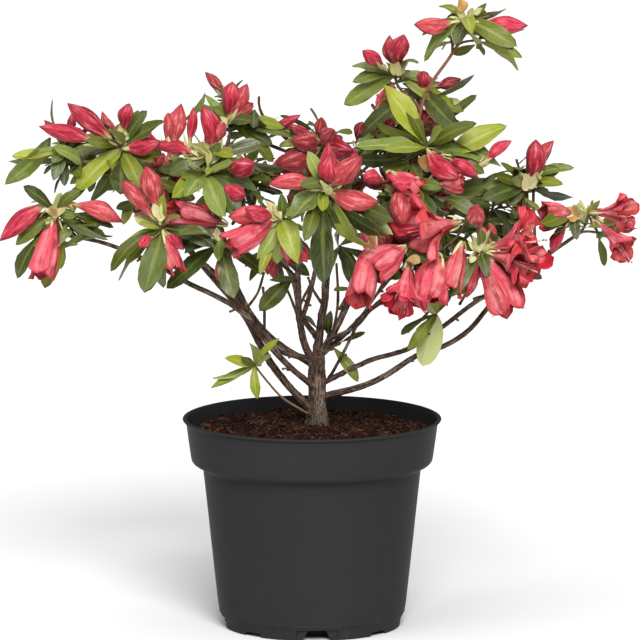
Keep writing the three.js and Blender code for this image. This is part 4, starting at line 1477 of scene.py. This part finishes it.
# %% The shape of a leaf
LEAF_ROWS = np.array([0.0, 0.12, 0.3, 0.48, 0.64, 0.8, 0.93, 1.0])
LEAF_COLUMNS = np.array([-1.0, -0.5, 0.0, 0.5, 1.0])
# The map has a lower and an upper half: where each starts, and how much of its height it uses.
MAP_HALVES = (0.01, 0.51)
HALF_HEIGHT = 0.48
# kind: how much it arches, how much its halves rise, its fullness, its point, its thickness in mm
LEAF_SHAPES = {
    "dark": ((0.0, 0.16), (0.0, 0.5), (1.15, 1.6), (0.6, 0.85), 0.6),
    "mid": ((-0.02, 0.16), (0.1, 0.6), (1.0, 1.5), (0.65, 0.9), 0.6),
    "bright": ((-0.04, 0.14), (0.1, 0.6), (0.75, 1.2), (0.7, 0.95), 0.5),
    "pale": ((0.0, 0.12), (0.0, 0.4), (0.55, 0.75), (0.5, 0.7), 0.5),
    "scale": ((-0.12, 0.0), (0.3, 0.7), (0.4, 0.7), (0.75, 1.0), 0.7),
    "husk": ((-0.12, -0.02), (0.3, 0.7), (0.4, 0.7), (0.6, 0.8), 0.6),
}


# From no turn to a whole one, for where a wave starts.
ANY_TURN = (0, 6.28)


def spans(low_high, count):
    """One random value for each thing grown, shaped so that it spreads over rows and columns."""
    return DRAW.uniform(*low_high, count)[:, None, None]


def grown_parts(rows):
    """Base, ahead and face (things, 1, 1, 3), and length and width (things, 1, 1), likewise shaped."""
    rows = np.array(rows)[:, None, None]
    return rows[..., 0:3], rows[..., 3:6], rows[..., 6:9], rows[..., 9], rows[..., 10]


def strip_spots(across, along, tint):
    """Map spots for many grids: the columns across the strip of each one's tint, the rows up it."""
    grid = np.broadcast_arrays(across[None, None, :], along[None, :, None], tint[:, None, None])
    return tint_spots(*grid)


def two_sheets(first, second, across, along, tint, half):
    """Thin closed bodies in mm: a sheet that faces out and the one behind it, sharing their rim.

    across and along, from 0 to 1, place the columns and rows on the map. The first sheet reads
    this half of the map, and the second one the other.
    """
    numbers = np.arange(first[..., 0].size).reshape(first.shape[:3])
    rim = np.ones(first.shape[1:3], bool)
    rim[1:-1, 1:-1] = False
    second_numbers = numbers + numbers.size
    second_numbers[:, rim] = numbers[:, rim]
    places = cells_of(numbers)
    corners = np.concatenate([places, cells_of(second_numbers)[:, ::-1]])
    near, far = (strip_spots(across, MAP_HALVES[side] + HALF_HEIGHT * along, tint).reshape(-1, 2)
                 for side in (half, 1 - half))
    points = np.concatenate([first.reshape(-1, 3), second.reshape(-1, 3)])
    return points * MM, corners, np.concatenate([near[places], far[places[:, ::-1]]])


def leaf_outline(along, fullness, point):
    """Half the width along a leaf, from 0 to 1: a power of the way from the stalk times a power of
    the way to the tip, brought to a height of one, and never less than the stalk."""
    shape = along ** fullness * (1 - along) ** point
    peak = fullness / (fullness + point)
    top = peak ** fullness * (1 - peak) ** point
    return 0.93 * shape / top + 0.11 - 0.09 * along


def leaf_sheets(rows, kind):
    """The top and the underside of many leaves, as (leaves, 8, 5, 3) in mm.

    A point lies its share of the length ahead, its column times the half width to the side, and up
    by the sum of the arch, the rise of the halves less the roll of the edge, and the wave.
    """
    base, ahead, face, length, width = grown_parts(rows)
    count = len(rows)
    arches, rises, fullness, point, thick = LEAF_SHAPES[kind]
    along, across = LEAF_ROWS[None, :, None], LEAF_COLUMNS[None, None, :]
    half = 0.5 * width * leaf_outline(along, spans(fullness, count), spans(point, count))
    arch, rise = spans(arches, count), spans(rises, count)
    turn = spans((-0.7, 0.7), count) * (along - 0.35)
    wave = spans((0.0, 0.28), count) * np.sin(2 * np.pi * spans((0.9, 1.7), count) * along
                                              + spans(ANY_TURN, count) + 1.4 * np.sign(across))
    up = (arch * length * np.sin(np.pi * np.minimum(along * 1.02, 1))
          + half * (rise * np.abs(across) - 0.5 * rise * np.abs(across) ** 3 + wave * across ** 2))
    sideways = across * half * (1 - 0.1 * rise) + spans((-0.1, 0.1), count) * length * along * (1 - along)
    side = np.cross(ahead, face)
    upper = np.cross(side, ahead)
    turned_side = side * np.cos(turn)[..., None] + upper * np.sin(turn)[..., None]
    turned_upper = upper * np.cos(turn)[..., None] - side * np.sin(turn)[..., None]
    shift = turned_side * sideways[..., None] + turned_upper * up[..., None]
    top = base + ahead * (length * along)[..., None] + shift
    depth = thick * (1 - across ** 2) * (0.75 + 0.5 * (across == 0)) * np.ones_like(half)
    return top, top - turned_upper * depth[..., None]


def leaf_skin(kind):
    """All leaves of one kind: the top reads the upper half of the map, the underside the lower."""
    top, under = leaf_sheets(grown[kind], kind)
    return two_sheets(top, under, (LEAF_COLUMNS + 1) / 2, LEAF_ROWS, DRAW.integers(0, TINTS, len(top)), 1)


dark_tops = leaf_sheets(grown["dark"], "dark")[0]
print("dark leaves:", len(dark_tops), "of", dark_tops.shape[1:3], "points a sheet")

# %% [markdown]
# ## The finish of a leaf
#
# Four things make a leaf read as a leaf: a pale midrib that is broad at the stalk and dies away to
# the tip, side veins that slant to the edge, silky hairs that turn the top grey-green in streaks and
# fringe its edge, and small differences from leaf to leaf. The grey-green streaks are partly the
# hairs' own colour and partly a painted sheen. All of them follow the leaf, so they are read from
# its map. The map's strips carry eight tints, of which every other one leans to a warmer hue, the
# place across a strip gives the midrib, and the upper and lower halves tell top from underside.

# %% Leaf finishes
def leaned(f, colour, number, turn, depth):
    """A colour whose hue turns one way on odd strips and the other on even ones. It also gets fuller
    on the odd ones and greyer on the even ones."""
    odd = f.less(f.times(f.sum_of("MODULO", number, 2.0), 2.0), 1.0)
    values = {"Hue": f.plus(f.times(odd, turn), 0.5), "Saturation": f.plus(f.times(odd, depth), 1.0)}
    return f.node("ShaderNodeHueSaturation", {**values, "Color": colour})["Color"]


def leaf_finish(name, deep, light, rib, underside, hair_and_sheen_colour, gloss):
    """A leaf's colours: from deep to light by its tint, its ribs, its hairs and their painted sheen,
    and its own underside.

    The midrib is where the distance from the middle, over a half width that shrinks towards the
    tip, is small. The side veins are a ripple of the way along less a share of that distance.
    """
    f = Finish(name)
    strip, number, tint, up = map_place(f)
    off_rib = f.off_middle(strip)
    along = f.sum_of("FRACT", f.times(up, 2.0))
    is_top = f.sum_of("GREATER_THAN", up, 0.5)
    midrib = f.step(f.sum_of("DIVIDE", off_rib, f.ramp(along, 0.2, 0.03)), 1.0, 0.3)
    ripple = f.off_middle(f.less(f.times(along, 8.0), f.times(off_rib, 5.0)))
    ribs = f.sum_of("MAXIMUM", midrib, f.times(f.step(ripple, 0.1, 0.0), 0.45))
    place = f.object_place()
    mottle = f.noise(place, 210.0, 4.0)
    patches = f.step(f.noise(place, 75.0, 2.0), 0.38, 0.62)
    # Pale streaks in broad patches: partly the hairs' own colour and partly a painted sheen.
    hairs = f.step(f.streaks(f.times(strip, 34.0), f.times(along, 5.0), 0.7), 0.42, 0.74)
    hair_and_painted_sheen = f.times(hairs, patches, 0.75)
    body = f.blend(f.plus(f.times(tint, 0.65), f.times(mottle, 0.35)), deep, light)
    top = f.coats(leaned(f, body, number, -0.012, 0.08), (hair_and_painted_sheen, hair_and_sheen_colour),
                  (f.times(f.step(off_rib, 0.4, 0.5), 0.5), rib), (f.times(ribs, 0.4), rib))
    below = f.blend(f.times(ribs, 0.35), f.blend(mottle, underside, light), rib)
    rough = f.plus(f.less(0.555, f.times(is_top, gloss)), f.times(mottle, 0.25))
    relief = f.bump(f.less(mottle, f.times(ribs, 0.6)), 0.26 * MM)
    return f.done(Base_Color=f.blend(is_top, below, top), Roughness=rough, Normal=relief,
                  Specular_IOR_Level=0.4, Sheen_Weight=0.1, Sheen_Roughness=0.4)


# kind: deep, light, ribs, underside, and hairs with their painted sheen as screen colours, and how
# glossy the top is
LEAF_LOOKS = {
    "dark": ((34, 42, 6), (88, 98, 26), (128, 138, 64), (98, 108, 54), (120, 130, 92), 0.32),
    "mid": ((68, 82, 10), (120, 130, 34), (158, 164, 90), (128, 136, 72), (152, 158, 112), 0.28),
    "bright": ((92, 110, 22), (142, 152, 58), (182, 186, 104), (154, 162, 84), (178, 182, 128), 0.2),
    "pale": ((112, 128, 52), (154, 162, 92), (184, 188, 132), (168, 174, 120), (192, 194, 156), 0.1),
    "scale": ((148, 152, 74), (212, 202, 148), (222, 214, 172), (180, 178, 112), (218, 214, 182), 0.1),
    "husk": ((130, 92, 48), (184, 148, 90), (150, 106, 60), (166, 124, 72), (206, 182, 134), 0.1),
}
for kind, looks in LEAF_LOOKS.items():
    piece_name = f"leaves_{kind}" if kind in BLADES else f"bud_{kind}s"
    make_piece(piece_name, [leaf_skin(kind)], leaf_finish(f"{kind}_leaf", *looks),
               MASSES if kind == "dark" else (), crease=75)

# %% [markdown]
# ## Flower buds
#
# A bud is five petals rolled up in a spiral, one over the next. What shows is a spindle with a
# pointed tip, a narrow neck, and three raised petal edges that run up it at a slant. The edges
# could be drawn by a bump pattern alone, but buds are large here and their outline would stay
# smooth. So the spindle's radius steps up at each edge, and the finish adds pale and dark streaks
# along it. The buds of the grown part are many and mostly hidden, so they have fewer faces.

# %% The shape of a bud
PETAL_EDGES = 3
EDGE_SLANT = 0.35
# How far up the neck ends, as a share of the length.
NECK_END = 0.06
# Waves that fold a bud lengthwise: how many go round, their least and most height, and their slant.
BUD_FOLDS = [(2, (0.03, 0.09), 6), (5, (0.02, 0.06), 5), (8, (0.01, 0.04), -4)]
# Blossom draws from a generator of its own, so that a change to the leaves leaves it as it is.
DRAW = np.random.default_rng(6)


def bud_walls(rows, rings, columns):
    """Many spindles (buds, rings, columns, 3) in mm.

    The radius grows along a quarter sine to the widest place, and then closes to a point as one
    less a power of the way on. A saw tooth round the bud, slanting as it climbs, lifts the petal
    edges, and waves of two, five and eight fold it lengthwise.
    """
    base, ahead, face, length, width = grown_parts(rows)
    count = len(rows)
    along = np.linspace(0, 1, rings)[None, :, None]
    angle = np.linspace(0, 2 * np.pi, columns, endpoint=False)[None, None, :]
    widest, neck = spans((0.5, 0.64), count), spans((0.16, 0.24), count)
    up_to_widest = np.clip((along - NECK_END) / (widest - NECK_END), 0, 1)
    swell = neck + (1 - neck) * np.sin(np.pi / 2 * up_to_widest) ** 1.5
    close = 1 - np.clip((along - widest) / (1 - widest), 0, 1) ** spans((1.5, 2.3), count)
    edge = (PETAL_EDGES * angle / (2 * np.pi) + EDGE_SLANT * along + spans((0, 1), count)) % 1
    lift = spans((0.2, 0.44), count) * np.sin(np.pi / 2 * np.minimum(along * 2.2, 1))
    folds = sum(spans(height, count) * np.sin(waves * angle + spans(ANY_TURN, count) + slant * along)
                for waves, height, slant in BUD_FOLDS)
    radius = width / 2 * swell * close * (1.0 - 0.5 * lift + lift * edge + folds)
    flat = 1 - spans((0, 0.22), count) * np.abs(np.sin(angle))
    bend = spans((-0.1, 0.1), count) * length * np.sin(np.pi * along)
    faceward, sideward = radius * np.cos(angle) * flat, -(radius * np.sin(angle) + bend)
    across = face * faceward[..., None] + np.cross(ahead, face) * sideward[..., None]
    return base + ahead * (length * along * np.ones_like(angle))[..., None] + across


def tints_with_painted_shade(rows, most):
    """Tints from 0 to most, as painted shade: blossom towards the front is paler and that at the back
    darker, and each one is a little off its neighbours."""
    # Painted shade: the further back the blossom, the darker its tint.
    front_light_share = np.interp(-np.array(rows)[:, 1], (-90.0, 70.0), (0.15, 0.85))
    return np.clip(np.round((front_light_share + DRAW.normal(0, 0.17, len(rows))) * most), 0, most).astype(int)


def bud_skin(rows, rings, columns):
    """Many buds as one surface, each with the tint that its place gives it, which is painted shade:
    darker at the back and paler at the front.
    """
    walls, tint = bud_walls(rows, rings, columns), tints_with_painted_shade(rows, TINTS - 1)
    return skin(walls, strip_spots(np.linspace(0, 1, columns + 1), np.linspace(0, 1, rings), tint))


print(front_buds, "buds from rows and", len(grown["bud"]) - front_buds, "grown")

# %% Bud finish
def bud_finish():
    """Coral red by a tint that darkens towards the back as painted shade, pale at the neck, dark at
    the tip, with pale and crimson streaks.
    """
    f = Finish("azalea_bud")
    strip, number, tint, up = map_place(f)
    cloud = f.noise(f.object_place(), 130.0, 4.0)
    streaks = f.streaks(f.times(strip, 15.0), f.times(up, 2.6))
    # The tint is painted shade: buds at the back are darker and those at the front paler.
    share = f.plus(f.times(tint, 0.75), f.times(cloud, 0.25))
    red = leaned(f, f.blend(share, (104, 8, 18), (196, 66, 76)), number, -0.004, 0.03)
    colour = f.coats(red, (f.times(f.step(streaks, 0.48, 0.68), 0.62), (232, 148, 150)),
                     (f.times(f.step(streaks, 0.46, 0.36), 0.6), (88, 6, 18)),
                     (f.times(f.step(up, 0.84, 1.0), 0.5), (112, 20, 42)),
                     (f.times(f.step(up, 0.26, 0.06), 0.9), (196, 184, 116)))
    relief = f.bump(f.plus(f.times(cloud, 0.5), streaks), 0.9 * MM)
    return f.done(Base_Color=colour, Roughness=0.55, Normal=relief, Specular_IOR_Level=0.2, Sheen_Weight=0.04)


# Rings and columns of a bud at the front, and of one behind.
FINE_BUD = (13, 18)
PLAIN_BUD = (8, 9)
bud = bud_finish()
make_piece("buds", [bud_skin(grown["bud"][:front_buds], *FINE_BUD)], bud)
make_piece("buds_behind", [bud_skin(grown["bud"][front_buds:], *PLAIN_BUD)], bud)

# %% [markdown]
# ## Open flowers
#
# An open azalea is a drooping bell: five petals grown together at the foot that part into broad,
# crumpled lobes, each overlapping its neighbour. A single turned bell with notches looks like sheet
# metal. Petals made one by one overlap, catch light on their edges and bend each its own way, so a
# flower here is five thin bodies that share one bell line. A flower that is only half open has the
# same five petals on a line that runs on straight to its mouth.

# %% The line of a bell
PETALS = 5
PETAL_ROWS = 19
PETAL_COLUMNS = 15
PETAL_THICK = 0.35
# How far a petal leans away from the axis, in degrees, at each share of its length.
OPEN_BELL = [(0.0, 12), (0.14, 20), (0.28, 38), (0.48, 50), (0.68, 58), (0.86, 70), (1.0, 86)]
HALF_BELL = [(0.0, 10), (0.12, 24), (0.3, 28), (0.5, 16), (0.7, 5), (0.86, -3), (1.0, -4)]
# A bell's radius at its foot, and the share of its length past which its petals bend.
BELL_FOOT = 0.06
BEND_FROM = 0.35
# kind: its bell, the least and most bend in degrees, and half a petal's width over the flower's
FLOWER_SHAPES = {"bloom": (OPEN_BELL, (-40, 26), (0.36, 0.44)), "half": (HALF_BELL, (-16, 12), (0.44, 0.56))}
CRUMPLE = 0.12


def bell_line(leans, bend):
    """How far on and out each petal's rows lie: sums of the cosine and the sine of its lean, where
    the bend adds to the lean over the outer half. A bell with no bend is one long and one wide."""
    along = np.linspace(0, 1, PETAL_ROWS)
    plain = np.radians(np.interp(along, *zip(*leans)))[None, :, None]
    lean = plain + bend * np.clip((along - BEND_FROM) / (1 - BEND_FROM), 0, 1)[None, :, None] ** 1.3
    on, out = (np.cumsum(part, axis=1) - part[:, :1] for part in (np.cos(lean), np.sin(lean)))
    long = np.cumsum(np.cos(plain), axis=1).max()
    wide = np.cumsum(np.sin(plain), axis=1).max()
    return on / long, BELL_FOOT + (1 - BELL_FOOT) * out / wide, lean


for kind, shape in FLOWER_SHAPES.items():
    print(kind, "bell rows at", np.round(bell_line(shape[0], 0.0)[1][0, :, 0], 2))

# %% The shape of a petal
def petal_sheets(kind):
    """The outside and the inside of every petal, as (flowers x 5, rows, columns, 3) in mm.

    A point lies on its petal's own line, turned round the axis by the petal's place plus its
    column times the half width over the radius. It is then lifted by a cup across the petal, by
    ruffles that grow outwards, and by the groove along the middle.
    """
    leans, bends, breadths = FLOWER_SHAPES[kind]
    base, ahead, _, length, width = grown_parts(np.repeat(grown[kind], PETALS, axis=0))
    count = len(base)
    petal = np.tile(np.arange(PETALS), count // PETALS)[:, None, None]
    high = unit(np.array([0.0, 0.0, 1.0]) + 1e-3 - ahead * ahead[..., 2:])
    wide = np.cross(ahead, high)
    on, out, lean = bell_line(leans, np.radians(spans(bends, count)))
    across = np.linspace(-1, 1, PETAL_COLUMNS)[None, None, :]
    along = np.linspace(0, 1, PETAL_ROWS)[None, :, None]
    reach_on = length * on * spans((0.92, 1.1), count)
    radius = width / 2 * np.maximum(out, BELL_FOOT) * spans((0.9, 1.12), count)
    widen = 0.2 + 0.8 * np.sin(np.pi / 2 * np.minimum(along / 0.58, 1))
    round_off = (1 - np.clip((along - 0.6) / 0.4, 0, 1) ** 2.3) ** 0.6
    half = width * spans(breadths, count) * widen * round_off + 0.25
    joined_turn = np.pi / PETALS * 1.25
    half_turn = np.minimum(half / np.maximum(radius, 0.16 * width), joined_turn)
    turn = 2 * np.pi * petal / PETALS + half_turn * across + spans((-0.2, 0.2), count) * along
    radial = high * np.cos(turn)[..., None] + wide * np.sin(turn)[..., None]
    outward = radial * np.cos(lean)[..., None] - ahead * np.sin(lean)[..., None]
    ruffle = along ** 1.6 * width * CRUMPLE * (
        0.6 * np.sin(spans((1.8, 3.4), count) * across + spans(ANY_TURN, count))
        + 0.9 * across ** 2 * np.sin(spans((5, 9), count) * along + spans(ANY_TURN, count) + np.sign(across))
        + 0.3 * np.sin(spans((6, 9), count) * across + 6 * along + spans(ANY_TURN, count))
        + 0.2 * np.sin(spans((9, 13), count) * along - 5 * across + spans(ANY_TURN, count)))
    cup = spans((-0.5, 0.25), count) * half * across ** 2 * along
    groove = -0.04 * width * along * np.exp(-(across / 0.2) ** 2)
    lift = ruffle + cup + groove + 0.45 * across
    inside = base + ahead * reach_on[..., None] + radial * radius[..., None] + outward * lift[..., None]
    return inside + outward * PETAL_THICK, inside


def petal_skin(kind):
    """All petals of one kind of flower. Those of one flower have nearly one tint, which is painted
    shade, darker towards the back, and the upper petal of each has the last tint, for its blotch."""
    outside, inside = petal_sheets(kind)
    tint = np.repeat(tints_with_painted_shade(grown[kind], TINTS - 3), PETALS) + DRAW.integers(0, 2, len(outside))
    tint[::PETALS] = TINTS - 1
    across, along = (np.linspace(0, 1, steps) for steps in (PETAL_COLUMNS, PETAL_ROWS))
    return two_sheets(outside, inside, across, along, tint, 0)


print("open flowers:", len(grown["bloom"]), "and half-open ones:", len(grown["half"]))

# %% Petal finish
def petal_finish():
    """Coral pink with fine veins along the petal, painted shade deep inside the throat, and a crimson
    blotch above.
    """
    f = Finish("azalea_petal")
    strip, number, tint, up = map_place(f)
    off_middle = f.off_middle(strip)
    along = f.sum_of("FRACT", f.times(up, 2.0))
    is_inside = f.sum_of("GREATER_THAN", up, 0.5)
    streaks = f.streaks(f.times(strip, 17.0), f.times(along, 1.8))
    place = f.object_place()
    cloud = f.noise(place, 95.0, 4.0)
    # The tint is painted shade: flowers at the back are darker and those at the front paler.
    share = f.plus(f.times(tint, 0.6), f.times(cloud, 0.4))
    outer = f.blend(share, (104, 8, 20), (212, 80, 90))
    inner = f.blend(share, (122, 6, 14), (212, 62, 68))
    red = leaned(f, f.blend(is_inside, outer, inner), number, -0.004, 0.03)
    flush = f.times(f.step(off_middle, 0.36, 0.08), f.step(cloud, 0.38, 0.6), 0.5)
    # Painted shade: the inside of the bell darkens towards its foot.
    painted_throat_shade = f.times(f.step(along, 0.7, 0.2), is_inside, 0.6)
    margin = f.times(f.sum_of("MAXIMUM", f.step(off_middle, 0.34, 0.5), f.step(along, 0.86, 1.0)), 0.5)
    blotched = f.times(f.sum_of("GREATER_THAN", number, TINTS - 1.5), is_inside)
    zone = f.times(f.step(off_middle, 0.26, 0.1), f.step(along, 0.86, 0.55))
    specks = f.times(f.step(f.noise(place, 650.0, 2.0), 0.5, 0.6), 0.8)
    colour = f.coats(red, (flush, (232, 150, 150)),
                     (f.times(f.step(streaks, 0.49, 0.69), 0.45), (232, 152, 154)),
                     (f.times(f.step(streaks, 0.46, 0.36), 0.45), (122, 8, 22)),
                     (painted_throat_shade, (128, 12, 26)), (margin, (170, 18, 36)),
                     (f.times(f.step(along, 0.2, 0.04), 0.9), (208, 196, 142)),
                     (f.times(blotched, zone, specks), (100, 8, 26)))
    relief = f.bump(f.plus(streaks, cloud), 0.7 * MM)
    return f.done(Base_Color=colour, Roughness=0.58, Normal=relief, Specular_IOR_Level=0.2, Sheen_Weight=0.04)


# The masses in which flowers open, as well as leaves.
IN_FLOWER = ("crest", "upper_spray", "left_peak", "centre_right", "bloom_low", "right_mid", "right_top",
             "far_right")
petal = petal_finish()
make_piece("flowers_open", [petal_skin("bloom")], petal,
           [name for name in MASSES if name in IN_FLOWER], crease=80)
make_piece("flowers_opening", [petal_skin("half")], petal, crease=80)

# %% [markdown]
# ## Stamens
#
# Out of each open flower hang five thread-thin stamens and a style. They start as a bundle in the
# tube, bend down under their own weight, and turn up a little at their ends, where each stamen
# carries a dark speck of an anther. They are the finest thing on the plant, and without them the
# flowers look like paper. A flat strip would vanish on edge, so each of the six threads is a tube
# of five sides, and each ends in a body of eight faces.

# %% Stamens and anthers
STAMENS = 6
STAMEN_RINGS = 9
STAMEN_SIDES = 5
STAMEN_RADII = (0.34, 0.24)


def stamen_paths(rows):
    """Paths along the flower's axis that spread a little, sag with the square of the way and lift
    again with its fourth power."""
    rows = np.repeat(np.array(rows), STAMENS, axis=0)
    count = len(rows)
    base, ahead, length = rows[:, None, 0:3], rows[:, None, 3:6], rows[:, None, 9:10]
    t = np.linspace(0, 1, STAMEN_RINGS)[None, :, None]
    reach = length * DRAW.uniform(0.8, 1.18, (count, 1, 1))
    spread = DRAW.normal(0, 0.06, (count, 1, 3))
    sag = np.array([0, 0, -1.0]) * reach * DRAW.uniform(0.1, 0.26, (count, 1, 1))
    straight = base + ahead * (length * 0.1 + reach * t)
    return straight + spread * reach * t ** 1.5 + sag * (t ** 2 - 0.35 * t ** 4)


def thread_finish(name, dark, light):
    """A plain surface that goes from one colour to another by a fine noise."""
    f = Finish(name)
    share = f.step(f.noise(f.object_place(), 160.0, 2.0), 0.3, 0.7)
    return f.done(Base_Color=f.blend(share, dark, light), Roughness=0.5)


threads = stamen_paths(grown["bloom"])
thread_radii = np.broadcast_to(np.linspace(*STAMEN_RADII, STAMEN_RINGS), threads.shape[:2])
make_piece("stamens", [skin(tubes(threads, thread_radii, STAMEN_SIDES))],
           thread_finish("stamen_thread", (222, 120, 130), (240, 186, 180)))
SIX_WAYS = np.array([(1, 0, 0), (-1, 0, 0), (0, 1, 0), (0, -1, 0), (0, 0, 1), (0, 0, -1)], float)
anther_ends = threads[:, -1:] + SIX_WAYS * DRAW.uniform(0.6, 1.0, (len(threads), 1, 3))
anther_spots = np.broadcast_to(0.5 + 0.4 * SIX_WAYS[:, :2], (len(threads), 6, 2))
make_piece("anthers", [lumps(anther_ends, anther_spots)],
           thread_finish("anther_dust", (48, 26, 34), (88, 54, 56)))

# %% [markdown]
# ## Count the triangles
#
# The triangles of all the pieces made here are added up.

# %% Count the triangles
print("triangles in all:", sum(made_triangles.values()))
